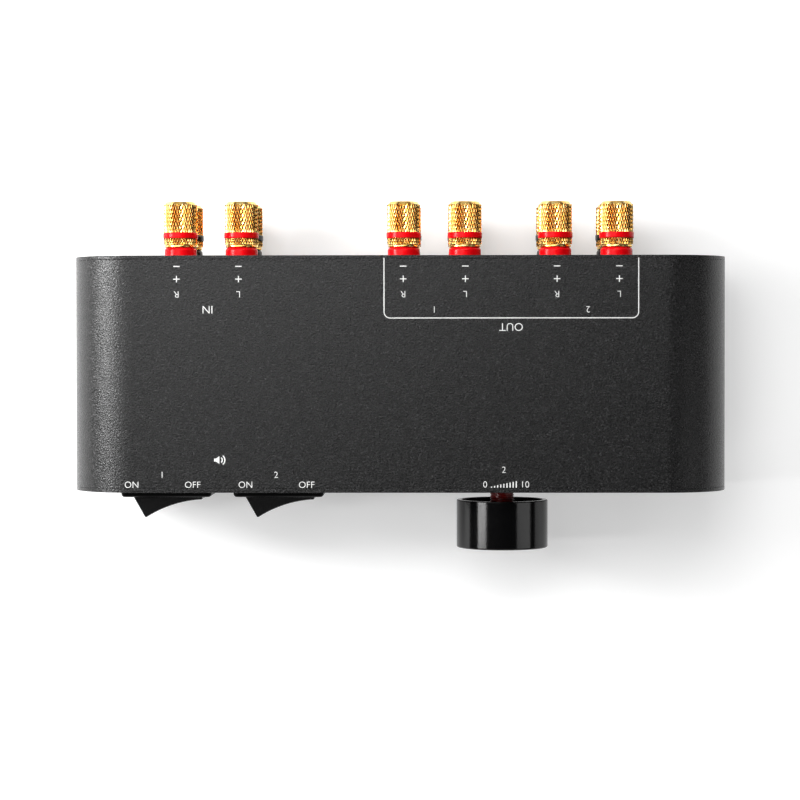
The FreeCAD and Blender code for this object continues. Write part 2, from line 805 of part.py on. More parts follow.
def make_control():
    shaft_start = "knob_seat - knob_bore_depth + running_gap"
    keep(rod("y", "shaft_radius", f"can_rear - ({shaft_start})", axis_spot(shaft_start)), "volume_shaft")

    bushing_start = "front_face - bushing_reach"
    bushing_length = f"can_front - ({bushing_start})"
    bushing = cut("volume_bushing", rod("y", "bushing_radius", bushing_length, axis_spot(bushing_start)),
                  [rod("y", "shaft_radius + running_gap", bushing_length, axis_spot(bushing_start))])
    keep(bushing, "volume_bushing")

    nut = cut("bushing_nut", hexagon("lock_nut_flats", "lock_nut_thickness", axis_spot("front_inside")),
              [rod("y", "bushing_radius + running_gap", "lock_nut_thickness", axis_spot("front_inside"))])
    keep(nut, "bushing_nut")

    inside = "can_length - 2 * can_wall"
    slot_height = "2 * (lug_spacing + lug_slot_gap) + lug_width"
    slot_size = ("can_radius", "lug_thickness + 2 * lug_slot_gap", slot_height)
    slots = [centred_box(slot_size,
                         ("volume_x - can_radius", f"{lug_y(gang)} + lug_thickness / 2", "case_middle"))
             for gang in range(2)]
    can = cut("control_can", rod("y", "can_radius", "can_length", axis_spot("can_front")), [
        rod("y", "can_radius - can_wall", inside, axis_spot("can_front + can_wall")),
        rod("y", "shaft_radius + running_gap", "can_length", axis_spot("can_front")),
    ] + slots)
    keep(can, "control_can")


def wafer_y(gang):
    return f"can_front + wafer_start + {gang} * wafer_pitch"


def lug_y(gang):
    return f"{wafer_y(gang)} + wafer_thickness"


def make_gangs():
    """Two wafers, each with a resistance track in front, a wiper on the shaft and three lugs behind."""
    wafer = cut("wafer", rod("y", "can_radius - can_wall", "wafer_thickness", ("0", "0", "0")),
                [rod("y", "wafer_hole_radius", "wafer_thickness", ("0", "0", "0"))])
    ring = cut("ring", rod("y", "track_outer_radius", "track_thickness", ("0", "-track_thickness", "0")),
               [rod("y", "track_inner_radius", "track_thickness", ("0", "-track_thickness", "0"))])
    notch_width = "2 * track_outer_radius * sin(track_gap / 2)"
    notch = box((notch_width, "track_thickness", "track_outer_radius"),
                (f"-({notch_width}) / 2", "-track_thickness", "-track_outer_radius"))
    track = cut("track", ring, [notch])
    spots = [axis_spot(wafer_y(gang)) for gang in range(2)]
    copies("control_wafers", fuse("wafer_with_track", [wafer, track]), spots)

    back = "-track_thickness - wiper_gap - wiper_thickness"
    hub = rod("y", "wiper_hub_radius", "wiper_thickness", ("0", back, "0"))
    arm = box(("wiper_width", "wiper_thickness", "wiper_length"), ("-wiper_width / 2", back, "0"))
    wiper = cut("wiper", fuse("wiper_blank", [hub, arm]),
                [rod("y", "shaft_radius + running_gap", "wiper_thickness", ("0", back, "0"))])
    turned_wiper = doc.addObject("Part::Compound", "turned_wiper")
    turned_wiper.Links = [wiper]
    turned_wiper.Placement = Placement(Vector(), Rotation(Vector(0, 1, 0), 1))
    bind(turned_wiper, "Placement.Rotation.Angle", "-pointer_angle")
    copies("control_wipers", turned_wiper, spots)

    rows = [f"case_middle + {row} * lug_spacing" for row in (-1, 0, 1)]
    lugs = [("volume_x", lug_y(gang), row) for gang in range(2) for row in rows]
    lug = box(("lug_reach - lug_root", "lug_thickness", "lug_width"), ("-lug_reach", "0", "-lug_width / 2"))
    copies("control_lugs", lug, lugs)


make_knob()
make_control()
make_gangs()


# Internal wiring: straight runs joined by tangent arcs, from the switch tabs and control lugs to the board

def bent_wire(points):
    """A round wire through the points, each bend as wide as its shorter run allows."""
    reach = number("bend_share")
    edges = []
    here = points[0]
    for before, corner, after in zip(points, points[1:], points[2:]):
        arriving = corner - before
        leaving = after - corner
        back = reach * min(arriving.Length, leaving.Length)
        half_turn = arriving.getAngle(leaving) / 2
        arriving.normalize()
        leaving.normalize()
        first = corner - arriving * back
        last = corner + leaving * back
        inward = leaving - arriving
        inward.normalize()
        radius = back / math.tan(half_turn)
        crown = corner + inward * (radius / math.cos(half_turn) - radius)
        edges.append(Part.LineSegment(here, first).toShape())
        edges.append(Part.Arc(first, crown, last).toShape())
        here = last
        print("bend radius", round(radius, 1))
    edges.append(Part.LineSegment(here, points[-1]).toShape())
    path = Part.Wire(edges)
    section = Part.Wire(Part.Circle(points[0], points[1] - points[0], number("wire_radius")).toShape())
    tube = path.makePipeShell([section], True, True)
    expected = math.pi * number("wire_radius") ** 2 * path.Length
    if abs(tube.Volume - expected) > 0.01 * expected:
        raise RuntimeError(f"a wire's volume is {tube.Volume}, not {expected}")
    return tube


def tab_spot(switch, across, pole):
    """The outer end of a switch tab."""
    return Vector(number("switch_x") + switch * number("switch_spacing") + across,
                  number("front_face") + number("tab_end"),
                  number("case_middle") + pole * number("pole_spacing") / 2)


def lug_spot(gang, row):
    """The outer end of a lug on the volume control."""
    wafer = number("can_front") + number("wafer_start") + gang * number("wafer_pitch")
    return Vector(number("volume_x") - number("lug_reach"),
                  wafer + number("wafer_thickness") + number("lug_thickness") / 2,
                  number("case_middle") + row * number("lug_spacing"))


def pad_spot(group, across, up):
    """A solder pad on the front of the terminal board, in wire steps from the first post of a group."""
    step = number("wire_step")
    return Vector(number(group) + step * across, number("board_front"), number("case_middle") + step * up)


def route(start, leaving, arriving, end):
    """Points from start to end, given in wire steps from each."""
    step = number("wire_step")
    first = [start + step * Vector(*offset) for offset in leaving]
    last = [end + step * Vector(*offset) for offset in arriving]
    return [start] + first + last + [end]


def make_wires():
    switched = number("contact_x")
    red = [
        route(tab_spot(0, 0, 1), [(0, 12, 0)], [(0, -14, 0)], pad_spot("amp_x", 7.3, 3)),
        route(tab_spot(0, 0, -1), [(0, 12, 0)], [(0, -14, 0)], pad_spot("amp_x", 11.3, -3)),
        route(tab_spot(1, 0, 1), [(0, 12, 0)], [(0, -14, 0)], pad_spot("amp_x", 27.3, 3)),
        route(tab_spot(1, 0, -1), [(0, 12, 0)], [(0, -14, 0)], pad_spot("amp_x", 33.3, -3)),
        route(tab_spot(0, switched, 1), [(0, 9, 0), (7, 17, 2)],
              [(-26, -19, 5), (-7, -17, 2), (0, -9, 0)], pad_spot("pair_1_x", -13.35, 4)),
        route(tab_spot(0, switched, -1), [(0, 9, 0), (7, 17, -2)],
              [(-26, -19, -5), (-7, -17, -2), (0, -9, 0)], pad_spot("pair_1_x", -9.35, -4)),
        route(tab_spot(1, switched, 1), [(0, 9, 0), (7, 15, 1), (17, 12.5, 2)],
              [(-22, 10, 2), (-9, 0, 0)], lug_spot(0, 1)),
        route(tab_spot(1, switched, -1), [(0, 9, 0), (7, 15, -1), (17, 12.5, -2)],
              [(-20, 8, -2), (-9, 0, 0)], lug_spot(1, -1)),
        route(lug_spot(0, 0), [(-8, 0, 0), (-13, 7, 0), (-13, 17, 0), (-7, 26, 0)],
              [(-20, -21, 1), (-8, -17, 1), (0, -9, 0)], pad_spot("pair_2_x", -8.5, 2)),
        route(lug_spot(1, 0), [(-8, 0, 0), (-13, 6, -3), (-11, 15, -3), (3, 24, -3)],
              [(-20, -18, -1), (-7, -16, 0), (0, -9, 0)], pad_spot("pair_2_x", 9.5, -3)),
    ]
    black = [
        route(lug_spot(0, -1), [(-8, 0, 0), (-14, 6, -3), (-14, 18, -5), (-8, 28, -4)],
              [(-3, -18, -3), (0, -9, 0)], pad_spot("pair_1_x", 9.65, -4)),
        route(lug_spot(1, 1), [(-8, 0, 0), (-13, 6, 2), (-12, 16, 3), (-4, 25, 3)],
              [(-8, -17, 2), (0, -9, 0)], pad_spot("pair_1_x", 26.65, 5)),
    ]
    for name, routes in (("red_wires", red), ("black_wires", black)):
        bundle = doc.addObject("Part::Feature", name)
        bundle.Shape = Part.makeCompound([bent_wire(points) for points in routes])
        keep(bundle, name)


make_wires()

doc.recompute()

failed = [thing.Label for thing in doc.Objects if "Invalid" in thing.State or "Error" in thing.State]
if failed:
    raise RuntimeError(f"these objects failed: {failed}")
for thing in nodes:
    if thing.Shape.isNull() or not thing.Shape.isValid():
        raise RuntimeError(f"{thing.Label} has no valid shape")

os.makedirs("parts", exist_ok=True)
for thing in nodes:
    thing.Shape.exportStep(f"parts/{thing.Label}.step")
    print(thing.Label, len(thing.Shape.Solids), round(thing.Shape.Volume, 1))
print(len(nodes), "nodes")
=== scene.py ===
import math

import bmesh
import bpy
from mathutils import Matrix, Vector


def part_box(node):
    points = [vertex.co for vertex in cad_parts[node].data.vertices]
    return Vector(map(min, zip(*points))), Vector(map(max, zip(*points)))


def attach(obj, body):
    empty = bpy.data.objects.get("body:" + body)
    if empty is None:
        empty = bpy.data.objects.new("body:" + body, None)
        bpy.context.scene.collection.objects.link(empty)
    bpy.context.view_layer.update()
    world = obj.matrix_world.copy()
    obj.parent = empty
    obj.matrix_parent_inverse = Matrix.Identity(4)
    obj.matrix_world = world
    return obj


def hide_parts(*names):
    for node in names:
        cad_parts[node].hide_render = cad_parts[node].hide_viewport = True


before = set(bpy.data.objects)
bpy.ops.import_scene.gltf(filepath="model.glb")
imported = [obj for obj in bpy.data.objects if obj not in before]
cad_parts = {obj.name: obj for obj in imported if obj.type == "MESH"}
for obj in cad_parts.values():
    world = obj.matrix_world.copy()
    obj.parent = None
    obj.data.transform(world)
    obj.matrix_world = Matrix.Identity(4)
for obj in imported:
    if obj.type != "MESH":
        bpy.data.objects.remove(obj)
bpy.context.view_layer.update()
scene = bpy.context.scene
mm = 0.001
plainCrease = 35  # degrees past which an edge stays sharp
print("frame loaded:", len(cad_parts), "nodes")


# places read from the frame

def span(node):
    low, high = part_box(node)
    return Vector(low), Vector(high)


def middle(node):
    low, high = span(node)
    return (low + high) / 2


shellLow, shellHigh = span("enclosure_shell")
frontFace = span("front_panel")[0].y
rearFace = span("rear_panel")[1].y
topFace = shellHigh.z
caseMiddle = (shellLow.z + shellHigh.z) / 2
groups = ["amp", "pair_1", "pair_2"]
columns = [f"{group}_{side}" for group in groups for side in ("right", "left")]
postNames = [f"{column}_{sign}" for column in columns for sign in ("plus", "minus")]
postSpots = {name: middle(f"{name}_cap") for name in postNames}


# shared tools

def inMm(**sizes):  # settings given in millimetres
    return {name: size * mm for name, size in sizes.items()}


def addPiece(name, mesh):
    piece = bpy.data.objects.new(name, mesh)
    scene.collection.objects.link(piece)
    return piece


def discard(*pieces):
    for piece in pieces:
        bpy.data.objects.remove(piece)


def smoothed(mesh, crease=plainCrease):
    mesh.shade_smooth()
    mesh.set_sharp_from_angle(angle=math.radians(crease))
    return mesh


def tidyMesh(mesh, crease=plainCrease, weld=1e-7):
    work = bmesh.new()
    work.from_mesh(mesh)
    bmesh.ops.remove_doubles(work, verts=work.verts, dist=weld)
    bmesh.ops.recalc_face_normals(work, faces=work.faces)
    work.to_mesh(mesh)
    work.free()
    return smoothed(mesh, crease)


def rawMesh(name, points, faces=()):
    mesh = bpy.data.meshes.new(name)
    mesh.from_pydata([tuple(point) for point in points], [], faces)
    return mesh


def meshOf(name, points, faces, crease=plainCrease):
    return tidyMesh(rawMesh(name, points, faces), crease)


def softCorners(corners, steps, closed=True):  # corners are (across, along, radius)
    points = []
    count = len(corners)
    for index, (across, along, radius) in enumerate(corners):
        here = Vector((across, along))
        if not radius or (not closed and index in (0, count - 1)):
            points.append(here)
            continue
        before = (Vector(corners[index - 1][:2]) - here).normalized()
        after = (Vector(corners[(index + 1) % count][:2]) - here).normalized()
        half = before.angle(after) / 2
        reach = radius / math.tan(half)
        centre = here + (before + after).normalized() * (radius / math.sin(half))
        first = here + before * reach - centre
        last = here + after * reach - centre
        start = math.atan2(first.y, first.x)
        sweep = (math.atan2(last.y, last.x) - start + math.pi) % (2 * math.pi) - math.pi
        for step in range(steps + 1):
            angle = start + sweep * step / steps
            points.append(centre + radius * Vector((math.cos(angle), math.sin(angle))))
    return points


def loft(name, rings, ends="capped", crease=plainCrease):  # ends are capped, joined to each other or open
    count = len(rings[0])
    points = [point for ring in rings for point in ring]
    faces = []
    for row in range(len(rings) if ends == "joined" else len(rings) - 1):
        following = (row + 1) % len(rings)
        for step in range(count):
            ahead = (step + 1) % count
            faces.append((row * count + step, row * count + ahead,
                          following * count + ahead, following * count + step))
    if ends == "capped":
        faces += [tuple(range(count)), tuple(range((len(rings) - 1) * count, len(rings) * count))]
    return meshOf(name, points, faces, crease)


def lathe(name, profile, steps, hollow=False, crease=plainCrease):  # profile is (radius, along Y)
    rings = [[Vector((radius * math.sin(2 * math.pi * step / steps), along,
                      radius * math.cos(2 * math.pi * step / steps))) for step in range(steps)]
             for radius, along in profile]
    return loft(name, rings, "joined" if hollow else "open", crease)  # poles close as their points merge


def turnedMesh(name, corners, roundSteps, steps, hollow=False):  # corners are (radius, along Y, rounding)
    return lathe(name, softCorners(corners, roundSteps, closed=hollow), steps, hollow)


def moved(mesh, offset):
    mesh = mesh.copy()
    mesh.transform(Matrix.Translation(offset))
    return mesh


def merged(name, meshes):
    work = bmesh.new()
    for mesh in meshes:
        work.from_mesh(mesh)
    joined = bpy.data.meshes.new(name)
    work.to_mesh(joined)
    work.free()
    return joined


def baked(piece):  # the evaluated mesh takes the place of the modifiers
    bpy.context.view_layer.update()
    evaluated = piece.evaluated_get(bpy.context.evaluated_depsgraph_get())
    mesh = bpy.data.meshes.new_from_object(evaluated)
    piece.modifiers.clear()
    piece.data = mesh
    return piece


def bevelled(piece, width, segments, limit):
    bevel = piece.modifiers.new("softEdges", "BEVEL")
    bevel.width = width
    bevel.segments = segments
    bevel.limit_method = "ANGLE"
    bevel.angle_limit = math.radians(limit)
    baked(piece)
    smoothed(piece.data)
    return piece


def cutBy(piece, cutter):
    hole = piece.modifiers.new("hole", "BOOLEAN")
    hole.object = cutter
    hole.solver = "EXACT"
    return baked(piece)


def settle(piece, body, finish, slotName, *nodes):
    piece.modifiers.new("flatFacesStayFlat", "WEIGHTED_NORMAL").keep_sharp = True
    baked(piece)
    piece.data.materials.clear()
    piece.data.materials.append(finish)
    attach(piece, body)
    if nodes:
        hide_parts(*nodes)
    return piece


def addNode(tree, kind, sockets=None, **values):
    node = tree.nodes.new(kind)
    for name, value in values.items():
        setattr(node, name, value)
    for socket, source in (sockets or {}).items():
        target = node.inputs[socket]
        if isinstance(source, bpy.types.NodeSocket):
            tree.links.new(source, target)
        else:
            target.default_value = source
    return node


def calculated(tree, operation, first, second):
    return addNode(tree, "ShaderNodeMath", {0: first, 1: second}, operation=operation).outputs[0]


def newTree(name, sockets):  # a Geometry Nodes tree with named inputs after its geometry
    tree = bpy.data.node_groups.new(name, "GeometryNodeTree")
    tree.interface.new_socket("Geometry", in_out="INPUT", socket_type="NodeSocketGeometry")
    for label, kind in sockets:
        tree.interface.new_socket(label, in_out="INPUT", socket_type=f"NodeSocket{kind}")
    tree.interface.new_socket("Geometry", in_out="OUTPUT", socket_type="NodeSocketGeometry")
    return tree, tree.nodes.new("NodeGroupInput"), tree.nodes.new("NodeGroupOutput")


def copiesOn(tree, points, source, sockets=None):
    info = addNode(tree, "GeometryNodeObjectInfo", {"Object": source})
    sockets = {"Points": points, "Instance": info.outputs["Geometry"], **(sockets or {})}
    return addNode(tree, "GeometryNodeInstanceOnPoints", sockets).outputs["Instances"]


def endTree(tree, copies, finish, end):  # instances become real faces with their material
    real = addNode(tree, "GeometryNodeRealizeInstances", {"Geometry": copies}).outputs["Geometry"]
    painted = addNode(tree, "GeometryNodeSetMaterial", {"Geometry": real, "Material": finish})
    tree.links.new(painted.outputs["Geometry"], end.inputs[0])
    return tree


def runTree(piece, tree, values):  # sets the inputs by identifier, then bakes
    modifier = piece.modifiers.new(tree.name, "NODES")
    modifier.node_group = tree
    for item in tree.interface.items_tree:
        if item.item_type == "SOCKET" and item.in_out == "INPUT" and item.name in values:
            modifier[item.identifier] = values[item.name]
    return baked(piece)


# finishes

def newFinish(name, colour, roughness, metallic=0.0, specular=0.5):
    finish = bpy.data.materials.new(name)
    finish.use_nodes = True
    finish.diffuse_color = (*colour, 1)
    shader = finish.node_tree.nodes["Principled BSDF"]
    shader.inputs["Base Color"].default_value = (*colour, 1)
    shader.inputs["Roughness"].default_value = roughness
    shader.inputs["Metallic"].default_value = metallic
    shader.inputs["Specular IOR Level"].default_value = specular
    return finish, finish.node_tree, shader


def objectPoint(tree):
    return addNode(tree, "ShaderNodeTexCoord").outputs["Object"]


def stretched(tree, point, scale):
    return addNode(tree, "ShaderNodeMapping", {"Vector": point, "Scale": scale}).outputs["Vector"]


def noise(tree, point, size, detail=2.0, roughness=0.5):  # size is in metres
    sockets = {"Vector": point, "Scale": 1 / size, "Detail": detail, "Roughness": roughness}
    return addNode(tree, "ShaderNodeTexNoise", sockets).outputs["Fac"]


def between(tree, factor, low, high, start=0.3, end=0.7):
    sockets = {"Value": factor, "From Min": start, "From Max": end, "To Min": low, "To Max": high}
    return addNode(tree, "ShaderNodeMapRange", sockets).outputs["Result"]


def tint(tree, factor, dark, light, start=0.35, end=0.65):
    ramp = addNode(tree, "ShaderNodeValToRGB", {"Fac": factor})
    ramp.color_ramp.elements[0].position = start
    ramp.color_ramp.elements[0].color = (*dark, 1)
    ramp.color_ramp.elements[1].position = end
    ramp.color_ramp.elements[1].color = (*light, 1)
    return ramp.outputs["Color"]


def mixed(tree, factor, under, over):  # over is a plain colour
    return addNode(tree, "ShaderNodeMix", {0: factor, 6: under, 7: (*over, 1)}, data_type="RGBA").outputs[2]


def dress(tree, shader, colour, rough):
    tree.links.new(colour, shader.inputs["Base Color"])
    tree.links.new(rough, shader.inputs["Roughness"])


def relief(tree, shader, height, distance, under=None):
    sockets = {"Height": height, "Distance": distance, "Strength": 1.0}
    if under:
        sockets["Normal"] = under
    normal = addNode(tree, "ShaderNodeBump", sockets).outputs["Normal"]
    tree.links.new(normal, shader.inputs["Normal"])
    return normal


grainyLook = {  # shared by the plain finishes, which may give their own
    "cloud": 14,  # size of the colour clouds, in grains
    "darker": 0.8,
    "smoother": 0.8,
    "rougher": 1.25,
    "detail": 3.0,
    "metallic": 0.0,
    "specular": 0.5,
}


def grainyFinish(name, colour, roughness, grain, depth, changes):  # a surface with fine, even grain
    look = {**grainyLook, **changes}
    finish, tree, shader = newFinish(name, colour, roughness, look["metallic"], look["specular"])
    point = objectPoint(tree)
    fine = noise(tree, point, grain * mm, look["detail"])
    broad = noise(tree, point, grain * mm * look["cloud"])
    dark = [channel * look["darker"] for channel in colour]
    rough = between(tree, fine, roughness * look["smoother"], roughness * look["rougher"])
    dress(tree, shader, tint(tree, broad, dark, colour), rough)
    relief(tree, shader, fine, depth * mm)
    return finish


casePaintLook = {
    "dark": (0.002, 0.002, 0.0021),
    "light": (0.0105, 0.0105, 0.0108),
    "sandRange": (0.38, 0.66),
    "sandRoughness": 0.6,
    "speck": (0.06, 0.06, 0.062),
    "speckRange": (0.66, 0.76),
    "speckSize": 0.8,  # in grains
    "grain": 0.5 * mm,
    "depth": 0.17 * mm,
    "roughness": (0.18, 0.34),
    "specular": 0.38,
}


def makeCasePaint():  # fine sand texture, with a few paler grains
    look = casePaintLook
    finish, tree, shader = newFinish("casePaint", look["light"], look["roughness"][0],
                                     specular=look["specular"])
    point = objectPoint(tree)
    sand = noise(tree, point, look["grain"], roughness=look["sandRoughness"])
    base = tint(tree, sand, look["dark"], look["light"], *look["sandRange"])
    grains = noise(tree, point, look["grain"] * look["speckSize"], 1.0)
    specks = between(tree, grains, 0.0, 1.0, *look["speckRange"])
    rough = between(tree, grains, *look["roughness"])
    dress(tree, shader, mixed(tree, specks, base, look["speck"]), rough)
    relief(tree, shader, sand, look["depth"])
    return finish


knobLook = {
    "colour": (0.002, 0.002, 0.0022),
    "roughness": (0.09, 0.17),
    "grain": 0.45 * mm,
    "depth": 0.014 * mm,
    "ringScale": 312.5,  # rings 1 mm apart
    "ringDepth": 0.004 * mm,
    "specular": 0.29,
}


def makeKnobBlack(centre):  # gloss anodised: bead grain on the side, turned rings on the faces
    look = knobLook
    finish, tree, shader = newFinish("knobBlack", look["colour"], look["roughness"][0],
                                     specular=look["specular"])
    point = objectPoint(tree)
    grain = noise(tree, point, look["grain"])
    centred = addNode(tree, "ShaderNodeMapping", {"Vector": point, "Location": (-centre.x, 0, -centre.z)})
    rings = addNode(tree, "ShaderNodeTexWave",
                    {"Vector": centred.outputs["Vector"], "Scale": look["ringScale"], "Distortion": 0.0},
                    wave_type="RINGS", rings_direction="Y")
    facing = addNode(tree, "ShaderNodeNewGeometry").outputs["Normal"]
    alongAxis = addNode(tree, "ShaderNodeSeparateXYZ", {"Vector": facing}).outputs["Y"]
    onFace = calculated(tree, "MULTIPLY", alongAxis, alongAxis)
    turned = calculated(tree, "MULTIPLY", rings.outputs["Fac"], onFace)
    beads = relief(tree, shader, grain, look["depth"])
    relief(tree, shader, turned, look["ringDepth"], under=beads)
    tree.links.new(between(tree, grain, *look["roughness"]), shader.inputs["Roughness"])
    return finish


goldLook = {
    "light": (1.0, 0.75, 0.32),
    "dark": (1.0, 0.60, 0.14),
    # painted shade: colour of the knurl's grooves, darker towards their roots where shade falls
    "groove": (0.48, 0.15, 0.01),
    "roughness": (0.17, 0.27),
    "cloud": 1.6 * mm,
    "scratchRun": (0.12, 1.0, 0.12),  # scratches drawn out across the axis
    "scratch": 0.05 * mm,
    "depth": 0.0012 * mm,
}


def makeGold():
    look = goldLook
    finish, tree, shader = newFinish("goldPlate", look["light"], look["roughness"][0], 1.0)
    point = objectPoint(tree)
    cloud = noise(tree, point, look["cloud"])
    turning = noise(tree, stretched(tree, point, look["scratchRun"]), look["scratch"])
    plate = tint(tree, cloud, look["dark"], look["light"])
    # painted shade in the knurl: the plate turns towards the dark groove colour as a point sinks to a tooth's
    # root
    groove = addNode(tree, "ShaderNodeAttribute", attribute_name="groove").outputs["Fac"]
    rough = between(tree, turning, *look["roughness"])
    dress(tree, shader, mixed(tree, groove, plate, look["groove"]), rough)
    relief(tree, shader, turning, look["depth"])
    return finish


boardLook = {
    "colour": (0.05, 0.2, 0.09),
    "dark": (0.03, 0.14, 0.06),
    "light": (0.06, 0.22, 0.1),
    "range": (0.1, 0.9),
    "roughness": 0.35,
    "weaveScale": 380.0,  # a thread every 0.8 mm
    "depth": 0.01 * mm,
}


def makeBoardGreen():  # woven glass cloth under the mask
    look = boardLook
    finish, tree, shader = newFinish("boardGreen", look["colour"], look["roughness"])
    sockets = {"Vector": objectPoint(tree), "Scale": look["weaveScale"]}
    threads = [addNode(tree, "ShaderNodeTexWave", sockets, bands_direction=way).outputs["Fac"]
               for way in "XZ"]
    weave = calculated(tree, "MULTIPLY", *threads)
    colour = tint(tree, weave, look["dark"], look["light"], *look["range"])
    tree.links.new(colour, shader.inputs["Base Color"])
    relief(tree, shader, weave, look["depth"])
    return finish


plainLooks = {  # colour, roughness, grain and depth in mm, and what else differs
    "blackScrew": ((0.028, 0.028, 0.03), 0.32, 0.12, 0.004, {"metallic": 0.6}),
    "footRubber": ((0.022, 0.022, 0.022), 0.72, 0.25, 0.02, {}),
    "redPlastic": ((0.82, 0.002, 0.006), 0.24, 0.3, 0.002, {"specular": 0.14, "darker": 0.88}),
    "blackPlastic": ((0.010, 0.010, 0.010), 0.22, 0.3, 0.002, {"specular": 0.35}),
    "switchPlastic": ((0.006, 0.006, 0.0063), 0.2, 0.18, 0.0015, {"specular": 0.35}),
    "bezelPlastic": ((0.0025, 0.0025, 0.0026), 0.3, 0.18, 0.0015, {"specular": 0.05}),
    # painted shade: the collars' red plastic, darkened to about a third for the shade behind the knob
    "bushingRedPaintedShade": ((0.24, 0.006, 0.005), 0.3, 0.2, 0.003, {}),
    "steel": ((0.56, 0.56, 0.57), 0.3, 0.15, 0.003, {"metallic": 1.0}),
    "tinnedBrass": ((0.7, 0.66, 0.55), 0.34, 0.2, 0.003, {"metallic": 1.0}),
    "nylon": ((0.78, 0.76, 0.68), 0.45, 0.3, 0.004, {"darker": 0.93}),
    "waferBrown": ((0.26, 0.15, 0.07), 0.5, 0.2, 0.006, {}),
    "redWire": ((0.55, 0.018, 0.015), 0.38, 0.4, 0.003, {}),
    "blackWire": ((0.02, 0.02, 0.02), 0.38, 0.4, 0.003, {}),
    "printWhite": ((0.80, 0.80, 0.79), 0.55, 0.12, 0.003, {"darker": 0.94}),
}
finishes = {name: grainyFinish(name, *look) for name, look in plainLooks.items()}
finishes["casePaint"] = makeCasePaint()
finishes["goldPlate"] = makeGold()
finishes["knobBlack"] = makeKnobBlack(middle("volume_knob"))
finishes["boardGreen"] = makeBoardGreen()
print("finishes made:", len(finishes))


# enclosure shell

shell = {
    **inMm(corner=20, wall=2, endBevel=0.18),
    "cornerSteps": 28,
    "bevelMiddle": 0.3,  # where the rounded bevel's middle ring lies
}


def shellRing(inset, along):
    across = (shellHigh.x - shellLow.x) / 2 - inset
    up = (shellHigh.z - shellLow.z) / 2 - inset
    corner = shell["corner"] - inset
    corners = [(-across, -up, corner), (across, -up, corner), (across, up, corner), (-across, up, corner)]
    return [Vector((point.x, along, caseMiddle + point.y))
            for point in softCorners(corners, shell["cornerSteps"])]


def makeShell():
    low, high = shellLow.y, shellHigh.y
    bevel, wall = shell["endBevel"], shell["wall"]
    near = bevel * shell["bevelMiddle"]
    section = [(wall, low), (bevel, low), (near, low + near), (0, low + bevel),
               (0, high - bevel), (near, high - near), (bevel, high), (wall, high)]
    piece = addPiece("case_shell", loft("case_shell", [shellRing(*place) for place in section], "joined"))
    return settle(piece, "case", finishes["casePaint"], "case_paint", "enclosure_shell")


makeShell()


# end panels, cut like the plates of the frame and given soft edges

panels = {"edge": 0.2 * mm, "edgeSegments": 3, "edgeLimit": 60, "weld": 0.002 * mm, "flatWithin": 2}


def makePanel(name, node):
    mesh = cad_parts[node].data.copy()
    mesh.materials.clear()
    work = bmesh.new()
    work.from_mesh(mesh)
    bmesh.ops.remove_doubles(work, verts=work.verts, dist=panels["weld"])
    bmesh.ops.dissolve_limit(work, angle_limit=math.radians(panels["flatWithin"]),
                             verts=work.verts, edges=work.edges)
    work.to_mesh(mesh)
    work.free()
    piece = addPiece(name, mesh)
    bevelled(piece, panels["edge"], panels["edgeSegments"], panels["edgeLimit"])
    return settle(piece, "case", finishes["casePaint"], "case_paint", node)


makePanel("front_plate", "front_panel")
makePanel("rear_plate", "rear_panel")
print("enclosure made")


# one tree places a small piece on every vertex of a set of spots

def makeSpreadTree():
    tree, start, end = newTree("spreadPieces", [("Piece", "Object"), ("Finish", "Material")])
    copies = copiesOn(tree, start.outputs["Geometry"], start.outputs["Piece"])
    return endTree(tree, copies, start.outputs["Finish"], end)


spreadTree = makeSpreadTree()


def spreadPiece(name, mesh, spots, finish):
    pattern = addPiece(f"{name}_pattern", mesh)
    piece = runTree(addPiece(name, rawMesh(name, spots)), spreadTree, {"Piece": pattern, "Finish": finish})
    discard(pattern)
    return piece


# countersunk screws with a cross recess

screws = {
    **inMm(headRadius=2.6, shankRadius=1.4, headDepth=1.2, headRim=0.1, rimInset=0.06, rimRound=0.08,
           length=10, sunk=0.04, slotWidth=0.75, slotReach=1.55, slotDepth=0.85),
    "slotTaper": 0.45, "roundSteps": 3, "steps": 40, "crease": 30,
}


def screwMesh(facing):  # facing is -1 to the front, 1 to the rear; the face is at y = 0
    size = screws
    top, wide, narrow = -size["sunk"], size["headRadius"], size["shankRadius"]
    corners = [(0, top, 0), (wide - size["rimInset"], top, size["rimRound"]),
               (wide, top - size["headRim"], 0), (narrow, -size["headDepth"], 0),
               (narrow, -size["length"], 0), (0, -size["length"], 0)]
    head = addPiece("screwHead", turnedMesh("screwHead", corners, size["roundSteps"], size["steps"]))
    half, reach, depth = size["slotWidth"] / 2, size["slotReach"], size["slotDepth"]
    cross = []
    for quarter in range(4):
        turn = Matrix.Rotation(math.pi / 2 * quarter, 2)
        cross += [turn @ Vector((half, half)), turn @ Vector((half, reach)), turn @ Vector((-half, reach))]
    rings = [[Vector((point.x * scale, along, point.y * scale)) for point in cross]
             for along, scale in ((-depth, size["slotTaper"]), (0, 1.0), (depth, 1.0))]
    cutter = addPiece("screwRecess", loft("screwRecess", rings))
    mesh = cutBy(head, cutter).data
    discard(cutter, head)
    if facing < 0:
        mesh.transform(Matrix.Rotation(math.pi, 4, "Z"))
    return tidyMesh(mesh, size["crease"])


def makeScrews():
    for facing, face, name, node in ((-1, frontFace, "front_screws", "front_panel_screws"),
                                     (1, rearFace, "rear_screws", "rear_panel_screws")):
        low, high = span(node)
        inset = screws["headRadius"]
        spots = [(x, face, z) for x in (low.x + inset, high.x - inset)
                 for z in (low.z + inset, high.z - inset)]
        piece = spreadPiece(name, screwMesh(facing), spots, finishes["blackScrew"])
        settle(piece, "case", finishes["blackScrew"], "black_screw", node)


makeScrews()


# rubber feet

feet = {
    **inMm(radius=6.5, draft=0.8, round=0.6, recessRadius=2.6, recessDepth=1.2, recessRound=0.2),
    "roundSteps": 5, "steps": 56,
}


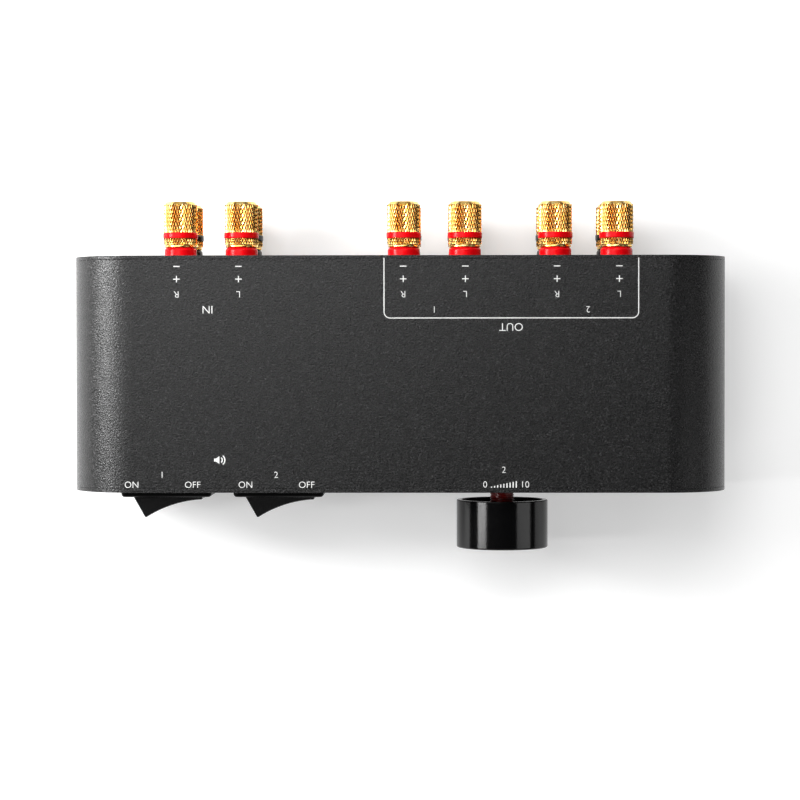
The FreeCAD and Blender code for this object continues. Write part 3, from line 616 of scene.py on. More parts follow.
def makeFeet():
    low, high = span("rubber_feet")
    height = high.z - low.z
    wide = feet["radius"]
    hole, deep, soft = feet["recessRadius"], feet["recessDepth"], feet["recessRound"]
    corners = [(0, deep, 0), (hole, deep, soft), (hole, 0, soft), (wide - feet["draft"], 0, feet["round"]),
               (wide, height, 0), (0, height, 0)]
    mesh = turnedMesh("foot", corners, feet["roundSteps"], feet["steps"])
    mesh.transform(Matrix.Rotation(math.pi / 2, 4, "X"))
    spots = [(x, y, low.z) for x in (low.x + wide, high.x - wide) for y in (low.y + wide, high.y - wide)]
    piece = spreadPiece("rubber_pads", mesh, spots, finishes["footRubber"])
    settle(piece, "case", finishes["footRubber"], "foot_rubber", "rubber_feet")


makeFeet()
print("screws and feet made")


# binding posts: places along +Y are counted from the rear face

post = {
    **inMm(collarRadius=5.0, collarHeight=2.8, collarRound=1.0, collarFoot=0.25, spigotRadius=3.6,
           clearance=0.05, flangeRadius=4.9, flangeEnd=3.6, flangeFoot=0.22, flangeRound=0.3,
           shankRadius=2.0, tailRound=0.3, threadRadius=3.0, threadDepth=0.42, threadPitch=1.0,
           threadStart=0.3, coreRound=0.1, studEnd=15.3, studRound=0.25, boreRadius=2.0, boreRound=0.12,
           boreDepth=8.5, borePoint=0.6, wireHole=1.3, wirePlace=5.2, drillReach=5),
    "collarRoundSteps": 8, "collarSteps": 72, "threadSteps": 32, "drillSteps": 28, "roundSteps": 4,
    "steps": 48, "crease": 28,
}


def makeCollars():
    wide, tall, spigot = post["collarRadius"], post["collarHeight"], post["spigotRadius"]
    inside = span("post_insulators")[1].y - rearFace
    bore = post["shankRadius"] + post["clearance"]
    corners = [(bore, inside, 0), (spigot, inside, 0), (spigot, 0, 0), (wide, 0, post["collarFoot"]),
               (wide, tall, post["collarRound"]), (bore, tall, 0)]
    mesh = turnedMesh("collar", corners, post["collarRoundSteps"], post["collarSteps"], hollow=True)
    for colour, sign in (("red", "plus"), ("black", "minus")):
        spots = [(spot.x, rearFace, spot.z) for name, spot in postSpots.items() if name.endswith(sign)]
        finish = finishes[f"{colour}Plastic"]
        piece = spreadPiece(f"{colour}_collars", mesh, spots, finish)
        settle(piece, "case", finish, f"{colour}_plastic", f"{colour}_post_collars")


makeCollars()


ridge = {  # shape of a thread's ridge
    "lead": 0.3,  # pitches free at each end
    "fadeTurn": 3,  # the ends fade in over a third of a turn
    "root": 1.25,  # thread depths below the crest
    "rootHalf": 0.48,  # pitches
    "crestHalf": 0.08,
    "crease": 25,
}


def threadRidge(name, radius, depth, pitch, start, end, steps):  # one closed ridge wound round the Y axis
    rounds = (end - start) / pitch - 2 * ridge["lead"]
    count = int(rounds * steps)
    fadeSteps = steps / ridge["fadeTurn"]
    foot, top = ridge["rootHalf"], ridge["crestHalf"]
    points, faces = [], []
    for index in range(count + 1):
        angle = 2 * math.pi * index / steps
        along = start + pitch * ridge["lead"] + pitch * index / steps
        fade = min(1, index / fadeSteps, (count - index) / fadeSteps)
        crest = radius - depth * (1 - fade)
        root = radius - depth * ridge["root"]
        for reach, offset in ((root, -foot), (crest, -top), (crest, top), (root, foot)):
            points.append(Vector((reach * math.sin(angle), along + offset * pitch, reach * math.cos(angle))))
    for index in range(count):
        here, there = index * 4, (index + 1) * 4
        for side in range(4):
            ahead = (side + 1) % 4
            faces.append((here + side, here + ahead, there + ahead, there + side))
    faces.append((0, 1, 2, 3))
    faces.append(tuple(count * 4 + side for side in range(4)))
    return meshOf(name, points, faces, ridge["crease"])


def studMesh():
    size = post
    core = size["threadRadius"] - size["threadDepth"]
    top, flange, collar = size["studEnd"], size["flangeEnd"], size["collarHeight"]
    shank, wide, bore = size["shankRadius"], size["flangeRadius"], size["boreRadius"]
    floor = top - size["boreDepth"]
    tail = span("post_studs")[0].y - rearFace
    corners = [(0, tail, 0), (shank, tail, size["tailRound"]), (shank, collar, 0),
               (wide, collar, size["flangeFoot"]), (wide, flange, size["flangeRound"]),
               (core, flange, size["coreRound"]),
               (core, top, size["studRound"]), (bore, top, size["boreRound"]), (bore, floor, 0),
               (0, floor - size["borePoint"], 0)]
    stud = addPiece("stud", turnedMesh("stud", corners, size["roundSteps"], size["steps"]))
    thread = addPiece("thread", threadRidge("thread", size["threadRadius"], size["threadDepth"],
                                            size["threadPitch"], flange + size["threadStart"],
                                            top - size["studRound"], size["threadSteps"]))
    reach, hole = size["drillReach"], size["wireHole"]
    drill = lathe("wireHole", [(0, -reach), (hole, -reach), (hole, reach), (0, reach)], size["drillSteps"])
    drill.transform(Matrix.Translation((0, size["wirePlace"], 0)) @ Matrix.Rotation(math.pi / 2, 4, "X"))
    cutter = addPiece("wireHole", drill)
    mesh = merged("studWhole", [cutBy(target, cutter).data for target in (stud, thread)])
    discard(stud, thread, cutter)
    return smoothed(mesh, size["crease"])


def makeStuds():
    spots = [(spot.x, rearFace, spot.z) for spot in postSpots.values()]
    piece = spreadPiece("threaded_studs", studMesh(), spots, finishes["goldPlate"])
    settle(piece, "case", finishes["goldPlate"], "gold_plate", "post_studs")


makeStuds()
print("collars and studs made")


# caps: a turned body with two belts of diamond knurl

cap = {
    **inMm(radius=5.2, base=3.7, end=17.0, endRadius=4.35, endRound=0.35, mouthRadius=2.4, mouthBevel=0.2,
           mouthFloor=15.6, bore=3.05, boreBevel=0.25, baseDraft=0.12, toothDepth=0.27, grooveStart=5.6,
           grooveEnd=7.5, grooveRadius=4.5, shortLength=1.84, longLength=8.6, bandRadius=5.4,
           bandRound=0.35, bandClearance=0.05, weld=0.002),
    "around": 37, "toothFlat": 0.14, "shortRows": 2, "longRows": 7, "bandRoundSteps": 5, "bandSteps": 76,
    "roundSteps": 4, "bodyCrease": 30, "crease": 24,
}


def toothMesh(name, half, reach):  # half is 0 for a whole diamond, -1 or 1 for one cut off at the belt's edge
    root = cap["radius"] - cap["toothDepth"]
    halfStep = math.pi / cap["around"]

    def at(side, along, radius):
        angle = side * halfStep
        return Vector((radius * math.sin(angle), along * reach, radius * math.cos(angle)))

    flat = cap["toothFlat"]
    corners = [(1, 0), (0, 1), (-1, 0), (0, -1)]
    if not half:
        low = [at(side, along, root) for side, along in corners]
        high = [at(side * flat, along * flat, cap["radius"]) for side, along in corners]
        faces = [(i, (i + 1) % 4, 4 + (i + 1) % 4, 4 + i) for i in range(4)] + [(4, 5, 6, 7)]
        return rawMesh(name, low + high, faces)
    kept = [(1, 0), (0, -half), (-1, 0)]
    low = [at(side, along, root) for side, along in kept] + [at(0, 0, root)]
    high = [at(side * flat, along * flat, cap["radius"]) for side, along in kept]
    faces = [(0, 1, 5, 4), (1, 2, 6, 5), (4, 5, 6), (0, 4, 6, 2, 3)]
    if half > 0:
        faces = [tuple(reversed(face)) for face in faces]
    return rawMesh(name, low + high, faces)


def makeKnurlTree():  # every point sits on the axis and is turned to its place in the belt
    tree, start, end = newTree("diamondKnurl", [
        ("Around", "Int"), ("Rows", "Int"), ("Start", "Float"), ("Row Step", "Float"),
        ("Tooth", "Object"), ("First Tooth", "Object"), ("Last Tooth", "Object"), ("Finish", "Material"),
    ])
    given = start.outputs

    def math2(operation, first, second):
        return calculated(tree, operation, first, second)

    count = math2("MULTIPLY", given["Around"], given["Rows"])
    points = addNode(tree, "GeometryNodePoints", {"Count": count})
    index = addNode(tree, "GeometryNodeInputIndex").outputs[0]
    row = math2("FLOOR", math2("DIVIDE", math2("ADD", index, 0.5), given["Around"]), 0.0)
    step = math2("SUBTRACT", index, math2("MULTIPLY", row, given["Around"]))
    shift = math2("MULTIPLY", math2("MODULO", row, 2.0), 0.5)
    angle = math2("DIVIDE", math2("MULTIPLY", math2("ADD", step, shift), 2 * math.pi), given["Around"])
    along = math2("ADD", given["Start"], math2("MULTIPLY", row, given["Row Step"]))
    place = addNode(tree, "ShaderNodeCombineXYZ", {"Y": along}).outputs[0]
    turn = addNode(tree, "ShaderNodeCombineXYZ", {"Y": angle}).outputs[0]
    placed = addNode(tree, "GeometryNodeSetPosition", {"Geometry": points.outputs[0], "Position": place})
    lastRow = math2("SUBTRACT", given["Rows"], 1.0)
    isFirst = math2("LESS_THAN", row, 0.5)
    isLast = math2("GREATER_THAN", row, math2("SUBTRACT", lastRow, 0.5))
    isInside = math2("LESS_THAN", math2("ADD", isFirst, isLast), 0.5)
    join = tree.nodes.new("GeometryNodeJoinGeometry")
    for label, chosen in (("Tooth", isInside), ("First Tooth", isFirst), ("Last Tooth", isLast)):
        teeth = copiesOn(tree, placed.outputs[0], given[label], {"Selection": chosen, "Rotation": turn})
        tree.links.new(teeth, join.inputs[0])
    return endTree(tree, join.outputs[0], given["Finish"], end)


knurlTree = makeKnurlTree()


def beltMesh(name, start, length, rows):
    step = length / rows
    teeth = {"Tooth": toothMesh("tooth", 0, step), "First Tooth": toothMesh("firstTooth", -1, step),
             "Last Tooth": toothMesh("lastTooth", 1, step)}
    patterns = {label: addPiece(label.replace(" ", ""), mesh) for label, mesh in teeth.items()}
    belt = addPiece(name, bpy.data.meshes.new(name))
    runTree(belt, knurlTree, {"Around": cap["around"], "Rows": rows + 1, "Start": start, "Row Step": step,
                              "Finish": finishes["goldPlate"], **patterns})
    mesh = belt.data
    discard(belt, *patterns.values())
    return mesh


def capMesh():
    size = cap
    root = size["radius"] - size["toothDepth"]
    low, high = size["grooveStart"], size["grooveEnd"]
    shortStart, longEnd = low - size["shortLength"], high + size["longLength"]
    base, end, floor = size["base"], size["end"], size["mouthFloor"]
    bore, boreBevel = size["bore"], size["boreBevel"]
    mouth, mouthBevel = size["mouthRadius"], size["mouthBevel"]
    inside = [(root, shortStart), (root - size["baseDraft"], base), (bore + boreBevel, base),
              (bore, base + boreBevel), (bore, floor), (mouth, floor), (mouth, end - mouthBevel),
              (mouth + mouthBevel, end)]
    rim = softCorners([(mouth + mouthBevel, end, 0), (size["endRadius"], end, size["endRound"]),
                       (root, longEnd, 0)], size["roundSteps"], closed=False)[1:]
    groove = [(root, high), (size["grooveRadius"], high), (size["grooveRadius"], low), (root, low)]
    profiles = {"capEnds": inside + [tuple(point) for point in rim], "capGroove": groove}
    turned = [lathe(name, profile, size["around"] * 2, crease=size["bodyCrease"])
              for name, profile in profiles.items()]
    belts = [beltMesh("shortBelt", shortStart, size["shortLength"], size["shortRows"]),
             beltMesh("longBelt", high, size["longLength"], size["longRows"])]
    whole = tidyMesh(merged("knurledCap", turned + belts), size["crease"], size["weld"])
    # painted shade: how deep each belt point lies below the tooth tips, 0 at the tips and 1 at the roots,
    # darkens the gold there
    sunk = whole.attributes.new("groove", "FLOAT", "POINT")
    for index, vertex in enumerate(whole.vertices):
        inBelt = shortStart < vertex.co.y < low or high < vertex.co.y < longEnd
        depth = (size["radius"] - math.hypot(vertex.co.x, vertex.co.z)) / size["toothDepth"]
        sunk.data[index].value = min(1.0, max(0.0, depth)) if inBelt else 0.0
    return whole


def makeCaps():
    body = capMesh()
    wide, deep = cap["bandRadius"], cap["grooveRadius"] + cap["bandClearance"]
    low, high = cap["grooveStart"], cap["grooveEnd"]
    corners = [(deep, low, 0), (wide, low, cap["bandRound"]), (wide, high, cap["bandRound"]), (deep, high, 0)]
    band = turnedMesh("band", corners, cap["bandRoundSteps"], cap["bandSteps"], hollow=True)
    for name, spot in postSpots.items():
        place = Vector((spot.x, rearFace, spot.z))
        piece = addPiece(f"{name}_knurled_cap", moved(body, place))
        settle(piece, f"{name}_cap", finishes["goldPlate"], "gold_plate", f"{name}_cap")
        colour = "red" if name.endswith("plus") else "black"
        ring = addPiece(f"{name}_ring", moved(band, place))
        settle(ring, f"{name}_band", finishes[f"{colour}Plastic"], f"{colour}_plastic", f"{name}_band")


makeCaps()
print("caps and bands made")


# rockers, drawn about their pivot with the face outwards along -Y

rocker = {
    **inMm(tip=9.4, rise=7.1, dish=1.26, skirt=10.96, skirtDepth=0.37, belly=9.5, bellyDepth=2.0,
           halfHeight=8.8, edge=0.45, pivotReach=1.0, stemWidth=5.2, stemDepth=8.2, stemHeight=7.4,
           markPlace=5.2, markSize=4.0, markLine=0.5, markProud=0.02, markSunk=0.15),
    "edgeSegments": 4, "edgeLimit": 32, "tilt": 17.8, "dishSteps": 20, "markSteps": 40,
    "stemStart": 0.5,  # of the belly's depth
}


def dishDepth(across):  # how far the dished face lies in from its tips
    radius = (rocker["tip"] ** 2 + rocker["dish"] ** 2) / (2 * rocker["dish"])
    return math.sqrt(radius ** 2 - across ** 2) - (radius - rocker["dish"])


def rockerMesh():
    size = rocker
    steps, tip, skirt, belly = size["dishSteps"], size["tip"], size["skirt"], size["belly"]
    across = [tip * (1 - 2 * step / steps) for step in range(steps + 1)]
    outline = [(place, -size["rise"] + dishDepth(place)) for place in across]
    outline += [(-skirt, size["skirtDepth"]), (-belly, size["bellyDepth"]),
                (belly, size["bellyDepth"]), (skirt, size["skirtDepth"])]
    rings = [[Vector((*point, up)) for point in outline] for up in (-size["halfHeight"], size["halfHeight"])]
    block = addPiece("rockerBlock", loft("rockerBlock", rings))
    bevelled(block, size["edge"], size["edgeSegments"], size["edgeLimit"])
    half, tall = size["stemWidth"] / 2, size["stemHeight"]
    corners = ((-half, -tall), (half, -tall), (half, tall), (-half, tall))
    stemRings = [[Vector((x, along, z)) for x, z in corners]
                 for along in (size["bellyDepth"] * size["stemStart"], size["stemDepth"])]
    mesh = merged("rocker", [block.data, loft("stem", stemRings)])
    discard(block)
    return mesh


def onRocker(across, up, proud):  # a point on the dished face, or this far off it
    return Vector((across, -rocker["rise"] + dishDepth(across) - proud, up))


def rockerMarksMesh():  # a ring on the half that is pressed for off, a bar on the other
    outer = rocker["markSize"] / 2
    inner = outer - rocker["markLine"]
    proud, sunk = rocker["markProud"], -rocker["markSunk"]
    angles = [2 * math.pi * step / rocker["markSteps"] for step in range(rocker["markSteps"])]
    rings = [[onRocker(rocker["markPlace"] + radius * math.cos(angle), radius * math.sin(angle), depth)
              for angle in angles]
             for radius, depth in ((outer, proud), (outer, sunk), (inner, sunk), (inner, proud))]
    half = rocker["markLine"] / 2
    bar = [[onRocker(side * half - rocker["markPlace"], end * outer, depth)
            for side, end in ((-1, -1), (1, -1), (1, 1), (-1, 1))] for depth in (proud, sunk)]
    return merged("rockerMarks", [loft("offRing", rings, "joined"), loft("onBar", bar)])


def makeRockers():
    meshes = rockerMesh(), rockerMarksMesh()
    for index in (1, 2):
        node = f"pair_{index}_rocker"
        across = middle(f"pair_{index}_switch_housing").x
        pivot = Vector((across, frontFace + rocker["pivotReach"], caseMiddle))
        place = Matrix.Translation(pivot) @ Matrix.Rotation(math.radians(rocker["tilt"]), 4, "Z")
        block = addPiece(f"{node}_cap", meshes[0].copy())
        signs = addPiece(f"{node}_marks", meshes[1].copy())
        for piece in (block, signs):
            piece.data.transform(place)
        settle(block, node, finishes["switchPlastic"], "switch_plastic", node)
        settle(signs, node, finishes["printWhite"], "switch_plastic")


makeRockers()
print("rockers made")


# volume knob

knob = {
    **inMm(radius=14.4, frontRound=0.55, backRound=0.3, recessRadius=12.8, recessDepth=2.2, recessEdge=0.2,
           recessRound=0.3, boreRadius=3.05, boreDepth=8.6, pointerWidth=1.2, pointerSunk=0.12, cutClear=1,
           pointerLength=7.0, pointerEdge=0.7, pointerDepth=0.4),
    "roundSteps": 6, "steps": 160, "pointerSteps": 8, "inlayFit": 0.96, "pointerAngle": 150.0,
    "pointerRound": 0.98,  # of half its width
}


def pointerMesh(name, shrink, near, far):  # the pointer line, turned to where it rests
    half = knob["pointerWidth"] / 2
    reach = knob["radius"] - knob["pointerEdge"]
    start, soft = reach - knob["pointerLength"], half * knob["pointerRound"]
    corners = [(-half, start, soft), (half, start, soft), (half, reach, 0), (-half, reach, 0)]
    outline = softCorners(corners, knob["pointerSteps"])
    turn = Matrix.Rotation(math.radians(-knob["pointerAngle"]), 4, "Y")
    return loft(name, [[turn @ Vector((point.x * shrink, along, point.y)) for point in outline]
                       for along in (near, far)])


def makeKnob():
    low, high = span("volume_knob")
    centre = middle("volume_knob")
    front, back = low.y, high.y
    wide, hollow, bore = knob["radius"], knob["recessRadius"], knob["boreRadius"]
    seat = back - knob["recessDepth"]
    corners = [(0, front, 0), (wide, front, knob["frontRound"]), (wide, back, knob["backRound"]),
               (hollow, back, knob["recessEdge"]), (hollow, seat, knob["recessRound"]), (bore, seat, 0),
               (bore, seat - knob["boreDepth"], 0), (0, seat - knob["boreDepth"], 0)]
    piece = addPiece("knob_body", turnedMesh("knob_body", corners, knob["roundSteps"], knob["steps"]))
    deep = front + knob["pointerDepth"]
    cutter = addPiece("pointerCut", pointerMesh("pointerCut", 1.0, front - knob["cutClear"], deep))
    cutBy(piece, cutter)
    discard(cutter)
    smoothed(piece.data)
    line = pointerMesh("knob_pointer", knob["inlayFit"], front + knob["pointerSunk"], deep)
    inlay = addPiece("knob_pointer", line)
    for part in (piece, inlay):
        part.data.transform(Matrix.Translation((centre.x, 0, centre.z)))
    settle(piece, "volume_control", finishes["knobBlack"], "knob_black", "volume_knob")
    settle(inlay, "volume_control", finishes["printWhite"], "knob_black")


makeKnob()


# threaded bushing behind the knob

bushing = {
    **inMm(radius=3.8, depth=0.3, pitch=0.75, bore=3.05, round=0.2),
    "roundSteps": 3, "steps": 56, "threadSteps": 40,
}


def makeBushing():
    size = bushing
    low, high = span("volume_bushing")
    centre = middle("volume_bushing")
    core, bore = size["radius"] - size["depth"], size["bore"]
    corners = [(bore, low.y, 0), (core, low.y, size["round"]), (core, high.y, 0), (bore, high.y, 0)]
    body = turnedMesh("bushingCore", corners, size["roundSteps"], size["steps"], hollow=True)
    thread = threadRidge("bushingThread", size["radius"], size["depth"], size["pitch"], low.y, high.y,
                         size["threadSteps"])
    piece = addPiece("red_bushing", moved(merged("bushing", [body, thread]), (centre.x, 0, centre.z)))
    # its red is the collars' plastic darkened with painted shade for the gap behind the knob
    settle(piece, "case", finishes["bushingRedPaintedShade"], "bushing_red", "volume_bushing")


makeBushing()
print("knob and bushing made")


# printed marks on the top face, in white

marks = {
    **inMm(thickness=0.03, line=0.29, signSize=2.0, small=2.0, large=2.45, minusRow=3.4, plusRow=7.3,
           sideRow=12.0, groupRow=16.7, bracketRow=19.3, outerRow=22.1, bracketMargin=5.9, bracketRound=1.9,
           bracketEnd=0.9, switchRow=2.5, numberRow=5.55, symbolRow=10.1, rampRow=2.6, dialRow=7.1,
           switchReach=9.4),
    "curveSteps": 4, "bracketRoundSteps": 8,
    "thinner": 0.036 * mm,  # taken off each side of a letter's strokes
    "capHeight": 0.70,  # of the font's size
}
printLevels = (topFace, topFace + marks["thickness"])


def wordMesh(word, height, place, upsideDown=False):
    curve = bpy.data.curves.new("word", "FONT")
    curve.body = word
    curve.size = height / marks["capHeight"]
    curve.align_x = curve.align_y = "CENTER"
    curve.resolution_u = marks["curveSteps"]
    curve.offset = -marks["thinner"]
    curve.extrude = marks["thickness"] / 2
    text = addPiece("word", curve)
    bpy.context.view_layer.update()
    mesh = bpy.data.meshes.new_from_object(text.evaluated_get(bpy.context.evaluated_depsgraph_get()))
    discard(text)
    heights = [vertex.co.y for vertex in mesh.vertices]
    mesh.transform(Matrix.Translation((0, -(min(heights) + max(heights)) / 2, 0)))
    turn = Matrix.Rotation(math.pi if upsideDown else 0, 4, "Z")
    mesh.transform(Matrix.Translation((place[0], place[1], topFace + marks["thickness"] / 2)) @ turn)
    return mesh


def printed(name, outline):  # a flat shape of print
    return loft(name, [[Vector((*point, up)) for point in outline] for up in printLevels])


def barMesh(low, high):  # from corner to corner
    return printed("bar", [low, (high[0], low[1]), high, (low[0], high[1])])


def strokeMesh(path, width):  # a line of print along an open path
    sides = ([], [])
    for index, point in enumerate(path):
        ahead = path[min(index + 1, len(path) - 1)] - path[max(index - 1, 0)]
        across = Vector((-ahead.y, ahead.x)).normalized() * width / 2
        sides[0].append(point + across)
        sides[1].append(point - across)
    outline = sides[0] + sides[1][::-1]
    points = [(point.x, point.y, up) for up in printLevels for point in outline]
    total = len(outline)
    faces = [(i, (i + 1) % total, total + (i + 1) % total, total + i) for i in range(total)]
    for base in (0, total):
        faces += [(base + i, base + i + 1, base + total - 2 - i, base + total - 1 - i)
                  for i in range(len(path) - 1)]
    return meshOf("stroke", points, faces)


def rearMarks():
    meshes = []
    half, line = marks["signSize"] / 2, marks["line"] / 2
    for column in columns:
        x = postSpots[f"{column}_plus"].x
        for row in ("minusRow", "plusRow"):
            y = rearFace - marks[row]
            meshes.append(barMesh((x - half, y - line), (x + half, y + line)))
        meshes.append(barMesh((x - line, y + line), (x + line, y + half)))
        meshes.append(barMesh((x - line, y - half), (x + line, y - line)))
        side = "R" if column.endswith("right") else "L"
        meshes.append(wordMesh(side, marks["small"], (x, rearFace - marks["sideRow"]), True))
    for group, word, height in (("amp", "IN", "large"), ("pair_1", "1", "small"), ("pair_2", "2", "small")):
        x = (postSpots[f"{group}_right_plus"].x + postSpots[f"{group}_left_plus"].x) / 2
        meshes.append(wordMesh(word, marks[height], (x, rearFace - marks["groupRow"]), True))
    left = postSpots["pair_1_right_plus"].x - marks["bracketMargin"]
    right = postSpots["pair_2_left_plus"].x + marks["bracketMargin"]
    bottom, top, soft = rearFace - marks["bracketRow"], rearFace - marks["bracketEnd"], marks["bracketRound"]
    corners = [(left, top, 0), (left, bottom, soft), (right, bottom, soft), (right, top, 0)]
    path = softCorners(corners, marks["bracketRoundSteps"], closed=False)
    meshes.append(strokeMesh(path, marks["line"]))
    meshes.append(wordMesh("OUT", marks["large"], ((left + right) / 2, rearFace - marks["outerRow"]), True))
    return meshes


def frontMarks():
    meshes = []
    switches = [middle(f"pair_{index}_switch_housing").x for index in (1, 2)]
    for index, x in enumerate(switches, start=1):
        y = frontFace + marks["switchRow"]
        meshes.append(wordMesh("ON", marks["small"], (x - marks["switchReach"], y)))
        meshes.append(wordMesh("OFF", marks["small"], (x + marks["switchReach"], y)))
        meshes.append(wordMesh(str(index), marks["small"], (x, frontFace + marks["numberRow"])))
    meshes += speakerSymbol(((switches[0] + switches[1]) / 2, frontFace + marks["symbolRow"]))
    x = middle("volume_knob").x
    meshes.append(wordMesh("2", marks["small"], (x, frontFace + marks["dialRow"])))
    meshes += rampSymbol((x, frontFace + marks["rampRow"]))
    return meshes


speaker = {
    "unit": 0.5 * mm,
    "horn": [(-3.0, -0.9), (-1.8, -0.9), (0.2, -2.4), (0.2, 2.4), (-1.8, 0.9), (-3.0, 0.9)],  # in units
    "waves": (2.0, 3.6),
    "waveLine": 0.7,
    "waveAngle": 48,
    "waveSteps": 8,
}


def speakerSymbol(place):  # a plain loudspeaker sign: magnet, cone and two waves
    centre, unit, widest = Vector(place), speaker["unit"], speaker["waveAngle"]
    meshes = [printed("horn", [centre + Vector(point) * unit for point in speaker["horn"]])]
    for radius in speaker["waves"]:
        angles = [math.radians(widest * (2 * step / speaker["waveSteps"] - 1))
                  for step in range(speaker["waveSteps"] + 1)]
        path = [centre + Vector((math.cos(angle), math.sin(angle))) * unit * radius for angle in angles]
        meshes.append(strokeMesh(path, speaker["waveLine"] * unit))
    return meshes


dialRamp = {
    **inMm(gap=0.95, line=0.34, low=0.35, high=2.0, zeroGap=1.0, tenGap=1.7),
    "bars": 9,
}


def rampSymbol(place):  # bars that grow from quiet to loud, between 0 and 10
    x, y = place
    last, half, bottom = dialRamp["bars"] - 1, dialRamp["line"] / 2, y - dialRamp["high"] / 2
    meshes = []
    for index in range(dialRamp["bars"]):
        across = x + (index - last / 2) * dialRamp["gap"]
        tall = dialRamp["low"] + (dialRamp["high"] - dialRamp["low"]) * index / last
        meshes.append(barMesh((across - half, bottom), (across + half, bottom + tall)))
    reach = dialRamp["gap"] * (dialRamp["bars"] + 1) / 2
    meshes.append(wordMesh("0", marks["small"], (x - reach - dialRamp["zeroGap"], y)))
    meshes.append(wordMesh("10", marks["small"], (x + reach + dialRamp["tenGap"], y)))
    return meshes


def makeMarks():
    for name, meshes in (("rear_marks", rearMarks()), ("front_marks", frontMarks())):
        piece = addPiece(name, merged(name, meshes))
        settle(piece, "case", finishes["printWhite"], "case_paint")


makeMarks()
print("marks made")


# finishes on the pieces that keep the frame's own shape

carried = {
    "nylon": ["post_insulators"],
    "steel": ["post_nuts", "knob_set_screw", "volume_shaft", "bushing_nut", "control_can"],
    "boardGreen": ["terminal_board"],
    "waferBrown": ["control_wafers"],
    "tinnedBrass": ["control_wipers", "control_lugs"],
    "redWire": ["red_wires"],
    "blackWire": ["black_wires"],
}
inEachSwitch = {
    "bezelPlastic": ["switch_housing"],
    "steel": ["plunger_springs"],
    "tinnedBrass": ["contact_blades", "switch_terminals", "plungers"],
}
places = [(finish, node) for finish, nodes in carried.items() for node in nodes]
places += [(finish, f"pair_{index}_{part}") for finish, parts in inEachSwitch.items()
           for part in parts for index in (1, 2)]
for finish, node in places:
    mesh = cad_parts[node].data
    mesh.materials.clear()
    mesh.materials.append(finishes[finish])
print("carried pieces finished")


# floor, light and camera

stage = {
    "floorReach": 12.0,
    "floorColour": (0.8, 0.8, 0.8),
    "floorGlow": 0.335,  # how white it looks beside the object
    "farGlow": 1.0,  # and far behind it
    "farStart": 0.35,
    "farEnd": 0.95,
    "worldDark": 0.02,
    "worldPale": 0.12,
    "worldChange": (0.02, 0.10),  # heights of a direction between which the pale walls end
}


def rayIs(tree, *kinds):  # 1 for rays of any of these kinds
    rays = addNode(tree, "ShaderNodeLightPath").outputs
    found = rays[f"Is {kinds[0]} Ray"]
    for kind in kinds[1:]:
        found = calculated(tree, "MAXIMUM", found, rays[f"Is {kind} Ray"])
    return found


def makeFloor():
    reach = stage["floorReach"]
    points = [(-reach, -reach, 0), (reach, -reach, 0), (reach, reach, 0), (-reach, reach, 0)]
    floor = addPiece("studio_floor", meshOf("studio_floor", points, [(0, 1, 2, 3)]))
    finish = bpy.data.materials.new("paleFloor")
    finish.use_nodes = True
    tree = finish.node_tree
    tree.nodes.clear()
    paper = addNode(tree, "ShaderNodeBsdfDiffuse", {"Color": (*stage["floorColour"], 1)})
    distance = addNode(tree, "ShaderNodeVectorMath", {0: objectPoint(tree)}, operation="LENGTH")
    level = between(tree, distance.outputs["Value"], stage["floorGlow"], stage["farGlow"],
                    stage["farStart"], stage["farEnd"])
    seen = rayIs(tree, "Camera", "Glossy", "Transmission")
    glow = addNode(tree, "ShaderNodeEmission", {"Strength": calculated(tree, "MULTIPLY", seen, level)})
    both = addNode(tree, "ShaderNodeAddShader", {0: paper.outputs[0], 1: glow.outputs[0]})
    addNode(tree, "ShaderNodeOutputMaterial", {"Surface": both.outputs[0]})
    floor.data.materials.append(finish)


def makeWorld():  # pale walls low down, a dim ceiling, white where the camera sees it
    world = bpy.data.worlds.new("studio")
    scene.world = world
    world.use_nodes = True
    tree = world.node_tree
    tree.nodes.clear()
    direction = addNode(tree, "ShaderNodeTexCoord").outputs["Generated"]
    height = addNode(tree, "ShaderNodeSeparateXYZ", {"Vector": direction}).outputs["Z"]
    level = between(tree, height, stage["worldPale"], stage["worldDark"], *stage["worldChange"])
    room = addNode(tree, "ShaderNodeBackground", {"Strength": level})
    white = addNode(tree, "ShaderNodeBackground", {"Color": (1, 1, 1, 1), "Strength": 1.0})
    seen = rayIs(tree, "Camera", "Transmission")
    mix = addNode(tree, "ShaderNodeMixShader", {0: seen, 1: room.outputs[0], 2: white.outputs[0]})
    addNode(tree, "ShaderNodeOutputWorld", {"Surface": mix.outputs[0]})


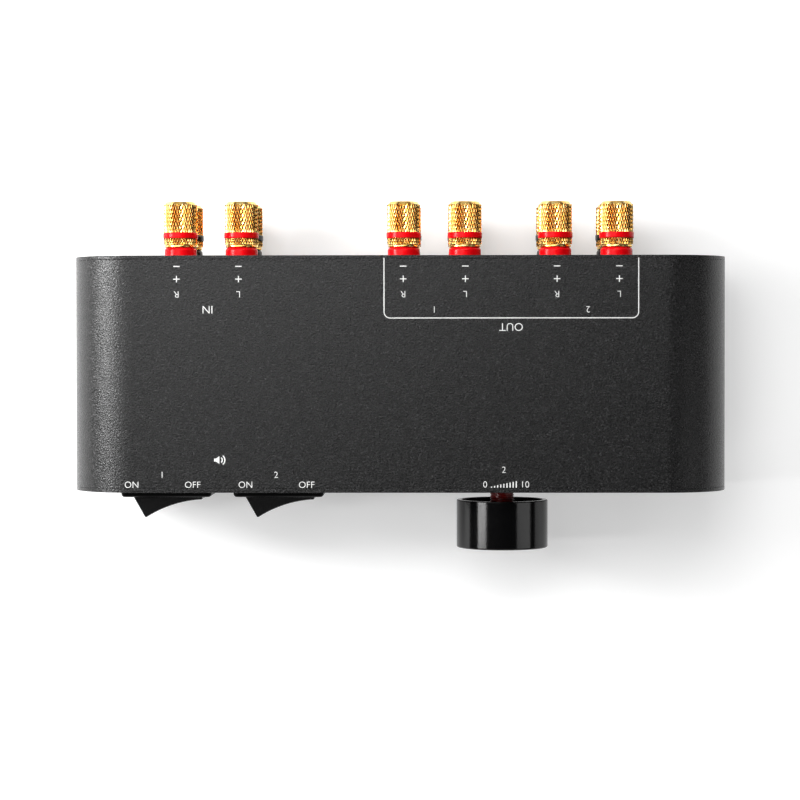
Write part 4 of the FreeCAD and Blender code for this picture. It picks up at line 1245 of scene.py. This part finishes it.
middlePoint, edgePoint = (0.0, 0.0, 0.03), (0.03, -0.045, 0.03)  # what the lamps face
leftPoint = (-0.06, 0.0, 0.03)
lamps = {  # place, the point it faces, its sides and its radiance
    "key": ((-0.52, 0.22, 0.42), leftPoint, (0.28, 0.12), 8.0),
    "lowKey": ((-0.535, 0.145, 0.288), leftPoint, (0.20, 0.125), 50.0),
    "strip": ((-0.54, -0.085, 0.46), edgePoint, (0.07, 0.28), 14.5),
    "upper": ((-0.27, 0.17, 0.58), (-0.27, 0.17, 0.0), (0.5, 0.38), 2.3),
    "upperRear": ((-0.05, 0.36, 0.62), (-0.05, 0.3, 0.0), (0.5, 0.3), 4.4),
    "rear": ((0.12, 0.68, 0.42), middlePoint, (1.4, 0.5), 0.6),
    "front": ((0.10, -0.62, 0.52), middlePoint, (1.4, 0.5), 1.15),
    "fill": ((0.56, -0.085, 0.40), edgePoint, (0.10, 0.43), 2.3),
}


def makeLamps():
    for name, (place, faced, sides, radiance) in lamps.items():
        light = bpy.data.lights.new(name, "AREA")
        light.shape = "RECTANGLE"
        light.size, light.size_y = sides
        light.energy = radiance * math.pi * light.size * light.size_y
        lamp = bpy.data.objects.new(name, light)
        lamp.location = place
        aim = Vector(faced) - Vector(place)
        lamp.rotation_euler = aim.to_track_quat("-Z", "Y").to_euler()
        lamp.visible_camera = False
        scene.collection.objects.link(lamp)


camera = {
    "place": (12.73 * mm, 8.37 * mm, 793.0 * mm),
    "turn": (-1.2548, 0.9511, -0.0544),
    "lens": 109.4,
    "sensor": 36.0,
    "near": 0.02,
    "far": 60.0,
}


def makeCamera():
    eye = bpy.data.cameras.new("overhead")
    eye.lens = camera["lens"]
    eye.sensor_width = camera["sensor"]
    eye.clip_start, eye.clip_end = camera["near"], camera["far"]
    holder = bpy.data.objects.new("overhead", eye)
    holder.location = camera["place"]
    holder.rotation_euler = [math.radians(angle) for angle in camera["turn"]]
    scene.collection.objects.link(holder)
    scene.camera = holder


makeFloor()
makeWorld()
makeLamps()
makeCamera()
scene.view_settings.view_transform = "Standard"
print("stage made")
